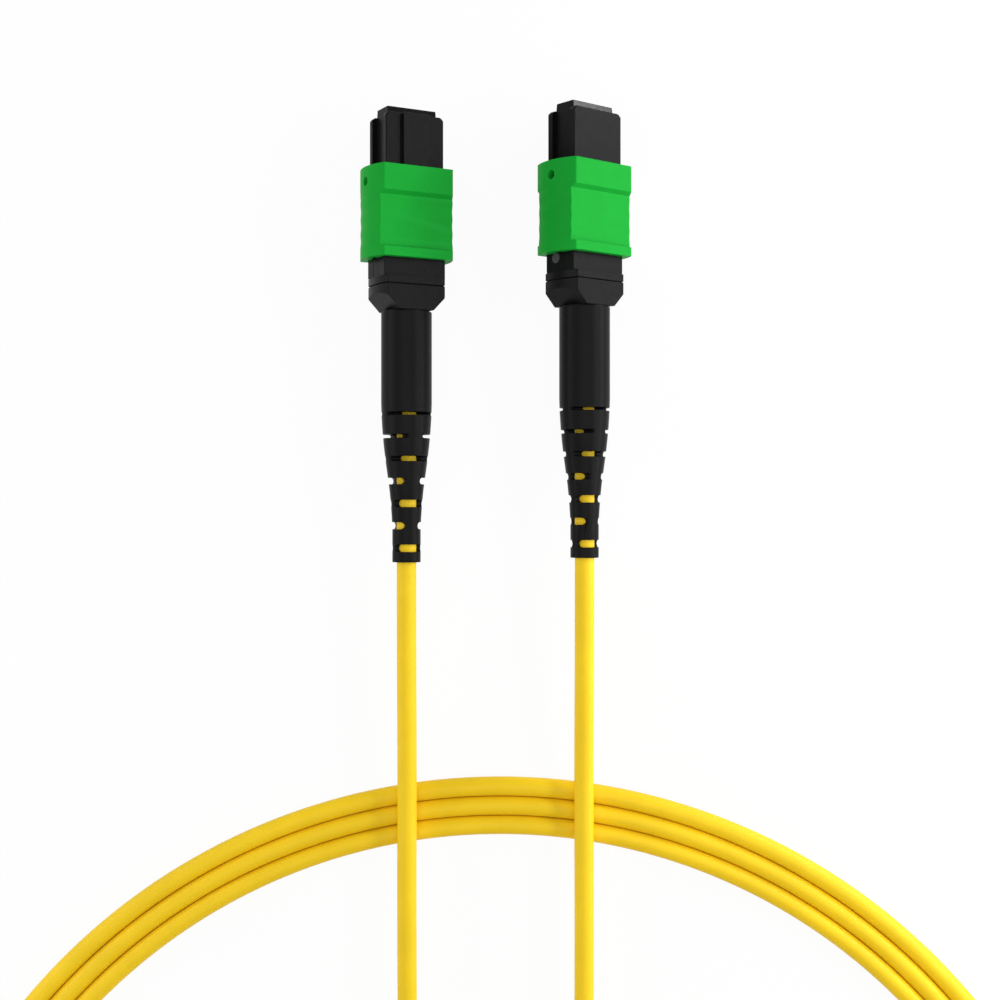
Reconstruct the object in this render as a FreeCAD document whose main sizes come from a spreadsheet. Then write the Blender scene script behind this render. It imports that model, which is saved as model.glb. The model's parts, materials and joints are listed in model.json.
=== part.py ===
import FreeCAD, Part

# Two-ended multi-fibre (MPO) patch cord, lying as it comes to rest.
#
# Each end is the same plug.  In its own frame a plug's nose points along +Y, its key is on +Z, and
# Y = 0 is its datum, just behind the front of the nose.  A station is millimetres behind that datum,
# so it is -Y.
# From nose to tail a plug is a moulded housing with a sprung ferrule in it, a sprung coupling
# sleeve that slides back over it, a rear body that snaps in from behind and carries the crimp ring,
# and a slotted strain-relief boot with the cable in its bore.
# In the part's frame +Z is up, the plugs lie side by side with their noses along +Y, and the origin
# is under the middle of the two plugs, on the surface that they lie on.

import math
import os
import re
import sys

import Sketcher
from FreeCAD import Placement, Rotation, Vector

# ------------------------------------------------------------------ driving dimensions
# alias, millimetres (degrees where it says angle), meaning
SIZES = [
    ("lip_reach", 0.35, "the nose's front lip, in front of the datum"),
    ("lip_half_front", 1.85, "lip's half height at its front"),
    ("lip_half_back", 2.0, "lip's half height at the shoulder"),
    ("shoulder", 0.73, "station of the shoulder behind the lip"),
    ("shoulder_corner", 0.75, "radius from the shoulder round to the nose's narrow sides"),
    ("nose_half_width", 4.85, "nose across"),
    ("nose_half_height", 3.0, "nose up and down"),
    ("nose_corner", 0.12, "radius on the nose's long edges"),
    ("nose_end", 9.4, "station where the nose widens to the barrel"),
    ("barrel_half_width", 5.12, "barrel across"),
    ("barrel_half_height", 3.08, "barrel up and down"),
    ("barrel_end", 25.5, "station of the housing's rear face"),
    ("key_half_width", 2.2, "polarity key across"),
    ("key_height", 0.73, "key above the nose"),
    ("key_end", 8.8, "station of the key's rear end, which stops the sleeve"),
    ("latch_half_height", 2.0, "adapter latch channel up and down"),
    ("latch_floor", 4.06, "latch channel's floor from the middle, and the lip's side"),
    ("latch_end", 9.8, "station where the latch channel ends"),
    ("guide_half_height", 0.95, "coupling spring channel up and down"),
    ("guide_floor", 4.1, "spring channel's floor from the middle"),
    ("port_half_width", 3.26, "ferrule opening across"),
    ("port_half_height", 1.31, "ferrule opening up and down"),
    ("port_end", 5.65, "station of the shoulder that stops the ferrule's flange"),
    ("well_half_width", 3.46, "cavity behind that shoulder, across"),
    ("well_half_height", 1.56, "flange well up and down"),
    ("well_end", 10.25, "station where the cavity opens out for the main spring"),
    ("cavity_half_height", 2.4, "spring cavity up and down"),
    ("window_front", 22.3, "station where the snap window begins"),
    ("window_back", 24.4, "station where it ends"),
    ("window_half_height", 0.95, "snap window up and down"),
    ("sleeve_front", 8.85, "station of the coupling sleeve's front"),
    ("sleeve_back", 22.7, "station of its rear rim"),
    ("sleeve_half_height", 4.4, "sleeve up and down"),
    ("sleeve_flat", 5.59, "half width of the sleeve's broad face"),
    ("sleeve_corner", 0.3, "radius on the sleeve's long edges"),
    ("sleeve_edge", 5.86, "half width where the bulged side begins"),
    ("sleeve_shoulder", 4.24, "half height where the bulged side begins"),
    ("sleeve_side_radius", 9.0, "radius of the bulged side"),
    ("rib_start", 12.45, "station of the first finger groove across the bulged side"),
    ("rib_pitch", 2.31, "from one finger groove to the next"),
    ("rib_width", 0.9, "width of a finger groove"),
    ("rib_depth", 0.1, "its depth"),
    ("rib_half_height", 3.9, "finger groove up and down"),
    ("grip_front", 13.0, "station where the grip recess begins to slope in"),
    ("grip_slope", 0.3, "length of that slope"),
    ("grip_back", 21.3, "station of the recess's rear wall"),
    ("grip_half_height", 3.65, "half height in the grip recess"),
    ("bore_half_width", 5.2, "sleeve's inside across"),
    ("bore_half_height", 3.2, "sleeve's inside up and down"),
    ("groove_depth", 0.6, "spring groove in the sleeve's side wall"),
    ("ledge_front", 9.9, "station of the ledge that the springs push"),
    ("ledge_back", 10.9, "station of the ledge's rear face"),
    ("ledge_half_height", 0.8, "ledge up and down"),
    ("ledge_floor", 4.25, "ledge's inner end from the middle"),
    ("pinhole_station", 11.1, "hole through each narrow side"),
    ("pinhole_radius", 0.7, "its radius"),
    ("ferrule_proud", 0.3, "ferrule's face in front of the datum at mid height"),
    ("ferrule_half_width", 3.2, "ferrule across"),
    ("ferrule_half_height", 1.25, "ferrule up and down"),
    ("ferrule_slope", 0.176, "rise of the eight degree face over half the height"),
    ("ferrule_end", 7.7, "station of the ferrule's rear face"),
    ("flange_start", 5.7, "station of the ferrule flange's front"),
    ("flange_half_width", 3.4, "flange across"),
    ("flange_half_height", 1.5, "flange up and down"),
    ("guide_hole_radius", 0.35, "guide pin hole"),
    ("guide_hole_offset", 2.3, "guide pin hole from the middle"),
    ("fibre_hole_radius", 0.0625, "fibre hole"),
    ("fibre_pitch", 0.25, "from one fibre to the next"),
    ("pocket_start", 2.7, "station where the fibre holes open into the ferrule's pocket"),
    ("pocket_half_width", 1.8, "pocket across"),
    ("pocket_half_height", 0.75, "pocket up and down"),
    ("window_half_width", 1.5, "epoxy window across"),
    ("epoxy_front", 3.3, "station where the epoxy window begins"),
    ("epoxy_back", 5.1, "station where it ends"),
    ("boot_start", 5.3, "station of the ferrule boot's front"),
    ("keeper_end", 10.2, "station of the pin keeper's and ferrule boot's rear faces"),
    ("keeper_half_width", 3.3, "pin keeper across"),
    ("keeper_half_height", 1.45, "pin keeper up and down"),
    ("slip", 0.05, "gap between pieces that slide into each other"),
    ("ribbon_half_width", 1.55, "fibre ribbon across"),
    ("ribbon_half_height", 0.15, "fibre ribbon's half thickness"),
    ("ribbon_start", 3.6, "station of the ribbon's front end"),
    ("ribbon_flat_end", 27.0, "station where the ribbon starts to gather"),
    ("bundle_start", 33.8, "station where it is a round bundle"),
    ("bundle_radius", 0.8, "radius of that bundle"),
    ("seat_station", 19.0, "station of the rear body's spring seat"),
    ("seat_half_width", 3.4, "rear body's inner block across"),
    ("seat_half_height", 2.3, "inner block up and down"),
    ("collar_half_width", 4.82, "flange and boot collar across"),
    ("collar_half_height", 3.68, "flange and boot collar up and down"),
    ("collar_corner", 0.15, "radius on the collar's long edges"),
    ("collar_side_radius", 14.0, "radius of the collar's bulged side"),
    ("collar_start", 26.6, "station where the boot meets the flange"),
    ("arm_front", 21.9, "station of the snap arm's tip"),
    ("arm_inner", 4.15, "snap arm's inner face from the middle"),
    ("arm_outer", 5.1, "snap arm's outer face"),
    ("hook_inner", 3.6, "snap hook's tip from the middle"),
    ("arm_half_height", 0.9, "snap arm up and down"),
    ("arm_bevel", 0.3, "lead-in on the snap arm's tip and hook"),
    ("hook_length", 0.85, "straight part of the snap hook"),
    ("post_radius", 2.1, "crimp post"),
    ("post_bore", 1.65, "bore through the rear body"),
    ("post_end", 34.0, "station of the post's end"),
    ("ring_start", 27.3, "station of the crimp ring's front"),
    ("ring_radius", 2.8, "crimp ring's large end"),
    ("ring_bore", 2.45, "its bore"),
    ("ring_wall", 0.35, "thickness of the ring's shoulder"),
    ("neck_start", 35.6, "station where its small end starts"),
    ("neck_radius", 2.15, "crimp ring's small end"),
    ("neck_bore", 1.53, "its bore"),
    ("ring_end", 41.0, "station of the ring's rear end"),
    ("jacket_start", 36.1, "station of the cable jacket's front end"),
    ("jacket_end", 69.05, "station where the cable leaves the plug"),
    ("jacket_bore", 1.1, "cable jacket's bore"),
    ("yarn_start", 28.0, "station of the aramid yarn's front end"),
    ("yarn_end", 42.0, "station of its end inside the jacket"),
    ("yarn_fold", 0.5, "how far the fold stands out behind the post"),
    ("boot_radius", 3.9, "strain relief's round part"),
    ("boot_bore", 2.85, "its bore over the crimp ring"),
    ("boot_bore_end", 41.6, "station where that bore ends"),
    ("cable_bore", 1.55, "boot's bore round the cable"),
    ("collar_chamfer", 28.5, "station where the collar's sides start to slope in"),
    ("collar_end", 30.5, "station of the collar's rear face"),
    ("collar_end_half_width", 2.9, "half width there"),
    ("collar_root", 0.5, "length of the round part that runs on inside the collar"),
    ("collar_root_radius", 3.3, "its radius"),
    ("taper_start", 45.5, "station where the boot starts to taper"),
    ("taper_second", 50.5, "station where the taper steepens"),
    ("taper_second_radius", 3.56, "radius there"),
    ("taper_third", 58.0, "station where the taper eases"),
    ("taper_third_radius", 2.62, "radius there"),
    ("taper_end", 63.2, "station where the taper ends"),
    ("tail_radius", 2.18, "boot's tail"),
    ("boot_end", 69.05, "station of the boot's rear end"),
    ("slot_middle", 46.3, "station of the first flexing slot's middle"),
    ("slot_pitch", 3.43, "from one slot to the next"),
    ("slot_web_front", 0.85, "half thickness of the web left at the first slot"),
    ("slot_web_back", 0.55, "half thickness of the web left at the last slot"),
    ("coupling_wire", 0.25, "coupling spring wire"),
    ("coupling_radius", 0.58, "coupling spring's mean radius"),
    ("coupling_offset", 4.95, "coupling spring's axis from the middle"),
    ("main_wire", 0.42, "main spring wire"),
    ("main_radius", 1.98, "main spring's mean radius"),
    ("spring_gap", 0.07, "gap at each end of a spring at rest"),
    ("cord_radius", 1.5, "cable's radius"),
    ("strand_pitch", 3.04, "from one strand of the coil to the next"),
    ("plug_a_across", -13.7, "plug a's axis"),
    ("plug_a_front", 34.05, "plug a's nose"),
    ("plug_a_roll", 28.8, "plug a's roll about its axis, an angle"),
    ("plug_b_across", 13.7, "plug b's axis"),
    ("plug_b_front", 34.75, "plug b's nose"),
    ("plug_b_roll", 219.7, "plug b's roll, an angle: its key is underneath"),
    ("coil_across", 0.7, "middle of the coil"),
    ("coil_centre", -166.15, "centre of the coil's top arc, along Y"),
    ("coil_top_radius", 92.7, "top arc of the coil's middle strand"),
    ("coil_top_angle", 51.5, "half of that arc, an angle"),
    ("coil_side_radius", 45.0, "side arcs of the coil's middle strand"),
    ("turn_centre", -142.35, "middle of the inner turn, along Y"),
    ("turn_radius", 33.0, "inner turn's end arcs"),
    ("turn_straight", 10.5, "half of its straight sides"),
]
SLOT_HEIGHTS = [0.5, 0.58, 0.8, 1.0, 1.12, 1.1, 1.15]
FIBRES = 12
RIBS = 4
COUPLING_SPRING = (5, 10)  # active turns, sides to a turn
MAIN_SPRING = (4, 12)
MITRED = 1  # how a sweep turns a sharp corner
CORD_SIDES = 8
FAR = 20.0  # reaches past any plug piece
CLEAR = 3.0  # how far a cut's sketch goes on into the open
OVERLAP = 0.5  # how far a pad starts inside what it joins

# The free cable's two stretches that aren't coiled, chosen by hand.  Behind each plug the cable goes
# on along the plug's axis to a first bend, given by its X and Y, and then follows the route.
BEND_A = (-13.7, -50.5)
ROUTE_A = [
    (-13.7, -68.0, 4.75),
    (-13.8, -89.5, 4.6),
    (-13.6, -119.0, 4.6),
    (-13.0, -139.4, 1.5),
    (-8.8, -156.4, 1.5),
    (0.7, -168.9, 1.5),
    (12.7, -174.4, 1.5),
    (25.7, -175.35, 1.5),
]
ROUTE_B = [
    (-25.3, -184.49, 1.5),
    (-15.3, -184.49, 2.4),
    (-4.3, -183.4, 4.6),
    (5.7, -177.9, 4.65),
    (11.5, -168.4, 4.6),
    (13.5, -154.4, 2.6),
    (13.9, -138.4, 1.5),
    (13.7, -121.4, 4.5),
    (13.8, -93.4, 4.6),
    (13.7, -67.4, 4.75),
]
BEND_B = (13.7, -49.6)

doc = FreeCAD.newDocument("mpo_patch_cord")
sheet = doc.addObject("Spreadsheet::Sheet", "Sizes")
for row, (alias, value, meaning) in enumerate(SIZES, start=1):
    sheet.set(f"A{row}", alias)
    sheet.set(f"B{row}", str(value))
    sheet.setAlias(f"B{row}", alias)
    sheet.set(f"C{row}", meaning)
slot_names = []
for number, height in enumerate(SLOT_HEIGHTS):
    row = len(SIZES) + 1 + number
    slot_names.append("slot_height_" + "abcdefg"[number])
    sheet.set(f"A{row}", slot_names[-1])
    sheet.set(f"B{row}", str(height))
    sheet.setAlias(f"B{row}", slot_names[-1])
doc.recompute()
ALIASES = {alias for alias, _, _ in SIZES} | set(slot_names)


def bound(text):
    """An expression on the sheet's cells, from one written with their bare names."""
    return re.sub(r"[a-z_]+", lambda m: "Sizes." + m.group() if m.group() in ALIASES else m.group(), text)


def size(text):
    """The number that such an expression comes to."""
    return float(sheet.evalExpression(bound(text)))


# ------------------------------------------------------------------ sketches and features


class Piece:
    """One moulded, turned or stamped piece: a PartDesign body with sketches on its own planes."""

    def __init__(self, name, placement):
        self.body = doc.addObject("PartDesign::Body", name)
        self.body.Label = name
        self.body.Placement = placement
        self.cuts = []

    def feature(self, kind, name):
        return self.body.newObject(kind, name)

    def plane(self, role):
        return [f for f in self.body.Origin.OriginFeatures if f.Role == role][0]

    def sketch(self, plane, offset="0"):
        """A sketch on XY_Plane, XZ_Plane or YZ_Plane, moved along that plane's normal.

        On XZ_Plane the sketch's axes are X and Z and its normal is -Y, so the offset is a station.
        """
        drawing = self.feature("Sketcher::SketchObject", "Sketch")
        drawing.AttachmentSupport = [(self.plane(plane), "")]
        drawing.MapMode = "FlatFace"
        drawing.setExpression(".AttachmentOffset.Base.z", bound(offset))
        return drawing

    def pad(self, drawing, length):
        pad = self.feature("PartDesign::Pad", "Pad")
        pad.Profile = drawing
        pad.setExpression("Length", bound(length))
        self.body.Tip = pad
        return pad

    def pocket(self, drawing, depth):
        """Cut from the sketch along its plane's normal."""
        pocket = self.feature("PartDesign::Pocket", "Pocket")
        pocket.Profile = drawing
        pocket.Reversed = True
        pocket.setExpression("Length", bound(depth))
        self.body.Tip = pocket
        self.cuts.append(pocket)
        return pocket

    def revolve(self, drawing):
        """Turn a sketch on XY_Plane, with X as the radius, about the plug's axis."""
        turned = self.feature("PartDesign::Revolution", "Revolution")
        turned.Profile = drawing
        turned.ReferenceAxis = (drawing, ["V_Axis"])
        turned.Angle = 360
        self.body.Tip = turned
        return turned

    def mirror(self, originals, plane="YZ_Plane"):
        doc.recompute()
        mirrored = self.feature("PartDesign::Mirrored", "Mirrored")
        mirrored.Originals = originals
        mirrored.MirrorPlane = (self.plane(plane), [""])
        self.body.Tip = mirrored
        return mirrored


def outline(drawing, corners):
    """Close a loop through corners, each (x, y) or (x, y, radius, side) where an arc leads to the
    next corner; side is 1 where the arc bulges to the right of the way on, -1 to the left."""
    first = drawing.GeometryCount
    spots = [Vector(size(c[0]), size(c[1]), 0) for c in corners]
    for i, corner in enumerate(corners):
        here = spots[i]
        there = spots[(i + 1) % len(spots)]
        if len(corner) == 2:
            drawing.addGeometry(Part.LineSegment(here, there), False)
            continue
        along = there - here
        radius = size(corner[2])
        rise = radius - math.sqrt(max(radius**2 - (along.Length / 2) ** 2, 0))
        out = Vector(along.y, -along.x, 0).normalize() * rise * corner[3]
        drawing.addGeometry(Part.Arc(here, (here + there) * 0.5 + out, there), False)
    ends = []
    for i, corner in enumerate(corners):
        # an arc always runs counter-clockwise, so its start may be the corner it leads to
        flipped = len(corner) > 2 and drawing.getPoint(first + i, 1).distanceToPoint(spots[i]) > 1e-6
        ends.append((2, 1) if flipped else (1, 2))
    for i in range(len(corners)):
        after = (i + 1) % len(corners)
        joint = Sketcher.Constraint("Coincident", first + i, ends[i][1], first + after, ends[after][0])
        drawing.addConstraint(joint)
    for i, corner in enumerate(corners):
        place = drawing.addConstraint(Sketcher.Constraint("DistanceX", first + i, ends[i][0], spots[i].x))
        drawing.setExpression(f"Constraints[{place}]", bound(corner[0]))
        place = drawing.addConstraint(Sketcher.Constraint("DistanceY", first + i, ends[i][0], spots[i].y))
        drawing.setExpression(f"Constraints[{place}]", bound(corner[1]))
        if len(corner) > 2:
            place = drawing.addConstraint(Sketcher.Constraint("Radius", first + i, size(corner[2])))
            drawing.setExpression(f"Constraints[{place}]", bound(corner[2]))


def circle(drawing, x, y, radius):
    shape = Part.Circle(Vector(size(x), size(y), 0), Vector(0, 0, 1), size(radius))
    number = drawing.addGeometry(shape, False)
    place = drawing.addConstraint(Sketcher.Constraint("DistanceX", number, 3, size(x)))
    drawing.setExpression(f"Constraints[{place}]", bound(x))
    place = drawing.addConstraint(Sketcher.Constraint("DistanceY", number, 3, size(y)))
    drawing.setExpression(f"Constraints[{place}]", bound(y))
    place = drawing.addConstraint(Sketcher.Constraint("Radius", number, size(radius)))
    drawing.setExpression(f"Constraints[{place}]", bound(radius))


def box(x_low, x_high, y_low, y_high):
    """The four corners of a rectangle."""
    return [(x_low, y_low), (x_high, y_low), (x_high, y_high), (x_low, y_high)]


def centred(half_width, half_height):
    return box(f"-({half_width})", half_width, f"-({half_height})", half_height)


def rounded(half_width, half_height, corner):
    """A rectangle about the axis with rounded corners."""
    x, y = f"{half_width} - {corner}", f"{half_height} - {corner}"
    return [
        (x, f"-({half_height})", corner, 1),
        (half_width, f"-({y})"),
        (half_width, y, corner, 1),
        (x, half_height),
        (f"-({x})", half_height, corner, 1),
        (f"-({half_width})", y),
        (f"-({half_width})", f"-({y})", corner, 1),
        (f"-({x})", f"-({half_height})"),
    ]


def bulged(flat, half_height, corner, edge, shoulder, side_radius):
    """A rectangle about the axis with rounded corners and convex narrow sides."""
    return [
        (flat, f"-({half_height})", corner, 1),
        (edge, f"-({shoulder})", side_radius, 1),
        (edge, shoulder, corner, 1),
        (flat, half_height),
        (f"-({flat})", half_height, corner, 1),
        (f"-({edge})", shoulder, side_radius, 1),
        (f"-({edge})", f"-({shoulder})", corner, 1),
        (f"-({flat})", f"-({half_height})"),
    ]


def collar_outline():
    return bulged(
        "collar_half_width - collar_corner",
        "collar_half_height",
        "collar_corner",
        "collar_half_width",
        "collar_half_height - collar_corner",
        "collar_side_radius",
    )


# ------------------------------------------------------------------ the pieces of one plug


def housing(name, place):
    """The inner housing: lip, nose with its key, and barrel, with the ferrule's cavity through it."""
    piece = Piece(name, place)
    nose = piece.sketch("XZ_Plane", "shoulder")
    outline(nose, rounded("nose_half_width", "nose_half_height", "nose_corner"))
    piece.pad(nose, "nose_end - shoulder")
    barrel = piece.sketch("XZ_Plane", "nose_end")
    outline(barrel, rounded("barrel_half_width", "barrel_half_height", "nose_corner"))
    piece.pad(barrel, "barrel_end - nose_end")
    lip = piece.sketch("YZ_Plane", "-latch_floor")
    outline(
        lip,
        [
            ("lip_reach", "-lip_half_front"),
            ("lip_reach", "lip_half_front"),
            ("-shoulder", "lip_half_back"),
            ("-shoulder", "-lip_half_back"),
        ],
    )
    piece.pad(lip, "2 * latch_floor")
    key = piece.sketch("XZ_Plane", "shoulder")
    low, high = f"nose_half_height - {OVERLAP}", "nose_half_height + key_height"
    outline(key, box("-key_half_width", "key_half_width", low, high))
    piece.pad(key, "key_end - shoulder")
    port = piece.sketch("XZ_Plane", "-lip_reach")
    outline(port, rounded("port_half_width", "port_half_height", "2 * slip"))
    piece.pocket(port, "port_end + lip_reach")
    well = piece.sketch("XZ_Plane", "port_end")
    outline(well, centred("well_half_width", "well_half_height"))
    piece.pocket(well, "well_end - port_end")
    cavity = piece.sketch("XZ_Plane", "well_end")
    outline(cavity, centred("well_half_width", "cavity_half_height"))
    piece.pocket(cavity, "barrel_end - well_end")
    corner = piece.sketch("XY_Plane", f"-{FAR}")
    inner, behind = "nose_half_width - shoulder_corner", "-(shoulder + shoulder_corner)"
    outline(
        corner,
        [
            (inner, "-shoulder", "shoulder_corner", -1),
            ("nose_half_width", behind),
            (f"nose_half_width + {CLEAR}", behind),
            (f"nose_half_width + {CLEAR}", "-shoulder"),
        ],
    )
    corner_cut = piece.pocket(corner, f"{2 * FAR}")
    latch = piece.sketch("XZ_Plane", "shoulder")
    far_side = f"latch_floor + {CLEAR}"
    outline(latch, box("latch_floor", far_side, "-latch_half_height", "latch_half_height"))
    latch_cut = piece.pocket(latch, "latch_end - shoulder")
    guide = piece.sketch("XZ_Plane", "latch_end")
    far_side = f"guide_floor + {CLEAR}"
    outline(guide, box("guide_floor", far_side, "-guide_half_height", "guide_half_height"))
    guide_cut = piece.pocket(guide, "barrel_end - latch_end")
    window = piece.sketch("YZ_Plane", f"well_half_width - {OVERLAP}")
    outline(window, box("-window_back", "-window_front", "-window_half_height", "window_half_height"))
    window_cut = piece.pocket(window, f"{CLEAR}")
    piece.mirror([corner_cut, latch_cut, guide_cut, window_cut])
    return piece


def coupling_sleeve(name, place):
    """The push-pull sleeve: a bulged shell with a waisted grip, finger grooves across its bulged
    sides, and a ledge for each coupling spring."""
    piece = Piece(name, place)
    shell = piece.sketch("XZ_Plane", "sleeve_front")
    outline(
        shell,
        bulged(
            "sleeve_flat",
            "sleeve_half_height",
            "sleeve_corner",
            "sleeve_edge",
            "sleeve_shoulder",
            "sleeve_side_radius",
        ),
    )
    piece.pad(shell, "sleeve_back - sleeve_front")
    grip = piece.sketch("YZ_Plane", f"-{FAR}")
    outline(
        grip,
        [
            ("-grip_front", f"sleeve_half_height + {CLEAR}"),
            ("-grip_front", "sleeve_half_height"),
            ("-(grip_front + grip_slope)", "grip_half_height"),
            ("-grip_back", "grip_half_height"),
            ("-grip_back", f"sleeve_half_height + {CLEAR}"),
        ],
    )
    recess = piece.pocket(grip, f"{2 * FAR}")
    piece.mirror([recess], "XY_Plane")
    inside = piece.sketch("XZ_Plane", "sleeve_front")
    outline(inside, rounded("bore_half_width", "bore_half_height", "4 * slip"))
    piece.pocket(inside, "sleeve_back - sleeve_front")
    groove = piece.sketch("XZ_Plane", "ledge_back")
    low, high = f"bore_half_width - {OVERLAP}", "bore_half_width + groove_depth"
    outline(groove, box(low, high, "-guide_half_height", "guide_half_height"))
    groove_cut = piece.pocket(groove, "sleeve_back - ledge_back")
    pinhole = piece.sketch("YZ_Plane", f"bore_half_width - {OVERLAP}")
    circle(pinhole, "-pinhole_station", "0", "pinhole_radius")
    pinhole_cut = piece.pocket(pinhole, f"{CLEAR}")
    # the grooves' floor follows the bulged side: the same centre, a smaller radius
    centre = "sleeve_edge - sqrt(sleeve_side_radius^2 - sleeve_shoulder^2)"
    floor = f"{centre} + sqrt((sleeve_side_radius - rib_depth)^2 - rib_half_height^2)"
    rib_cuts = []
    for number in range(RIBS):
        rib = piece.sketch("XZ_Plane", f"rib_start + {number} * rib_pitch")
        outline(
            rib,
            [
                (floor, "-rib_half_height", "sleeve_side_radius - rib_depth", 1),
                (floor, "rib_half_height"),
                (f"sleeve_edge + {CLEAR}", "rib_half_height"),
                (f"sleeve_edge + {CLEAR}", "-rib_half_height"),
            ],
        )
        rib_cuts.append(piece.pocket(rib, "rib_width"))
    ledge = piece.sketch("XZ_Plane", "ledge_front")
    high = f"bore_half_width + {OVERLAP}"
    outline(ledge, box("ledge_floor", high, "-ledge_half_height", "ledge_half_height"))
    ledge_pad = piece.pad(ledge, "ledge_back - ledge_front")
    piece.mirror([groove_cut, pinhole_cut, ledge_pad] + rib_cuts)
    return piece


def ferrule(name, place):
    """The rectangular ferrule: angled face, guide pin holes, a row of fibre holes and an epoxy window."""
    piece = Piece(name, place)
    block = piece.sketch("XZ_Plane", "-ferrule_proud - 2 * ferrule_slope")
    outline(block, rounded("ferrule_half_width", "ferrule_half_height", "2 * slip"))
    piece.pad(block, "ferrule_end + ferrule_proud + 2 * ferrule_slope")
    flange = piece.sketch("XZ_Plane", "flange_start")
    outline(flange, rounded("flange_half_width", "flange_half_height", "4 * slip"))
    piece.pad(flange, "ferrule_end - flange_start")
    face = piece.sketch("YZ_Plane", f"-{FAR}")
    outline(
        face,
        [
            ("ferrule_proud + ferrule_slope", "-ferrule_half_height"),
            ("ferrule_proud - ferrule_slope", "ferrule_half_height"),
            (f"ferrule_proud + {CLEAR}", "ferrule_half_height"),
            (f"ferrule_proud + {CLEAR}", "-ferrule_half_height"),
        ],
    )
    piece.pocket(face, f"{2 * FAR}")
    in_front = f"ferrule_proud + {CLEAR}"
    pins = piece.sketch("XZ_Plane", f"-({in_front})")
    circle(pins, "guide_hole_offset", "0", "guide_hole_radius")
    circle(pins, "-guide_hole_offset", "0", "guide_hole_radius")
    piece.pocket(pins, f"ferrule_end + {in_front}")
    row = piece.sketch("XZ_Plane", f"-({in_front})")
    for fibre in range(FIBRES):
        circle(row, f"fibre_pitch * {fibre - (FIBRES - 1) / 2}", "0", "fibre_hole_radius")
    piece.pocket(row, f"pocket_start + {in_front}")
    pocket = piece.sketch("XZ_Plane", "pocket_start")
    outline(pocket, centred("pocket_half_width", "pocket_half_height"))
    piece.pocket(pocket, "ferrule_end - pocket_start")
    epoxy = piece.sketch("XY_Plane")
    outline(epoxy, box("-window_half_width", "window_half_width", "-epoxy_back", "-epoxy_front"))
    piece.pocket(epoxy, f"{CLEAR}")
    return piece


def ribbon_slot(piece, start, end):
    """Cut the flat hole that the fibre ribbon runs through."""
    slot = piece.sketch("XZ_Plane", start)
    outline(slot, centred("ribbon_half_width + slip", "ribbon_half_height + slip"))
    piece.pocket(slot, f"{end} - ({start})")


def ferrule_boot(name, place):
    """The soft sleeve that carries the ribbon into the ferrule's pocket."""
    piece = Piece(name, place)
    block = piece.sketch("XZ_Plane", "boot_start")
    outline(block, rounded("pocket_half_width - slip", "pocket_half_height - slip", "3 * slip"))
    piece.pad(block, "keeper_end - boot_start")
    ribbon_slot(piece, "boot_start", "keeper_end")
    return piece


def pin_keeper(name, place):
    """The stamped frame behind the ferrule that the main spring pushes on."""
    piece = Piece(name, place)
    plate = piece.sketch("XZ_Plane", "ferrule_end")
    outline(plate, rounded("keeper_half_width", "keeper_half_height", "4 * slip"))
    piece.pad(plate, "keeper_end - ferrule_end")
    opening = piece.sketch("XZ_Plane", "ferrule_end")
    outline(opening, centred("pocket_half_width + slip", "pocket_half_height + slip"))
    piece.pocket(opening, "keeper_end - ferrule_end")
    return piece


def rear_body(name, place):
    """The rear body: spring seat, two snap arms, flange and plain crimp post."""
    piece = Piece(name, place)
    block = piece.sketch("XZ_Plane", "seat_station")
    outline(block, rounded("seat_half_width", "seat_half_height", "6 * slip"))
    piece.pad(block, "barrel_end - seat_station")
    flange = piece.sketch("XZ_Plane", "barrel_end")
    outline(flange, collar_outline())
    piece.pad(flange, "collar_start - barrel_end")
    post = piece.sketch("XZ_Plane", "collar_start")
    circle(post, "0", "0", "post_radius")
    piece.pad(post, "post_end - collar_start")
    arm = piece.sketch("XY_Plane", "-arm_half_height")
    outline(
        arm,
        [
            ("arm_inner", f"-(barrel_end + {OVERLAP})"),
            ("arm_outer", f"-(barrel_end + {OVERLAP})"),
            ("arm_outer", "-(arm_front + arm_bevel)"),
            ("arm_outer - arm_bevel", "-arm_front"),
            ("arm_inner", "-arm_front"),
            ("arm_inner", "-(window_front + arm_bevel)"),
            ("hook_inner", "-(window_back - slip - hook_length)"),
            ("hook_inner", "-(window_back - slip)"),
            ("arm_inner", "-(window_back - slip)"),
        ],
    )
    arm_pad = piece.pad(arm, "2 * arm_half_height")
    piece.mirror([arm_pad])
    bore = piece.sketch("XZ_Plane", "seat_station")
    circle(bore, "0", "0", "post_bore")
    piece.pocket(bore, "post_end - seat_station")
    return piece


def turned(name, place, corners):
    """A turned piece, from its half section: corners are (radius, station)."""
    piece = Piece(name, place)
    section = piece.sketch("XY_Plane")
    outline(section, [(radius, f"-({station})") for radius, station in corners])
    piece.revolve(section)
    return piece


def crimp_ring(name, place):
    return turned(
        name,
        place,
        [
            ("ring_bore", "ring_start"),
            ("ring_radius", "ring_start"),
            ("ring_radius", "neck_start"),
            ("neck_radius", "neck_start"),
            ("neck_radius", "ring_end"),
            ("neck_bore", "ring_end"),
            ("neck_bore", "neck_start - ring_wall"),
            ("ring_bore", "neck_start - ring_wall"),
        ],
    )


def aramid_yarn(name, place):
    """The strength yarn, folded back over the post, clamped by the ring and led into the jacket."""
    return turned(
        name,
        place,
        [
            ("post_radius + slip / 2", "yarn_start"),
            ("ring_bore - slip / 2", "yarn_start"),
            ("ring_bore - slip / 2", "post_end + yarn_fold"),
            ("jacket_bore - slip / 2", "post_end + yarn_fold"),
            ("jacket_bore - slip / 2", "yarn_end"),
            ("bundle_radius + slip", "yarn_end"),
            ("bundle_radius + slip", "post_end + slip"),
            ("post_radius + slip / 2", "post_end + slip"),
        ],
    )


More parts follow.
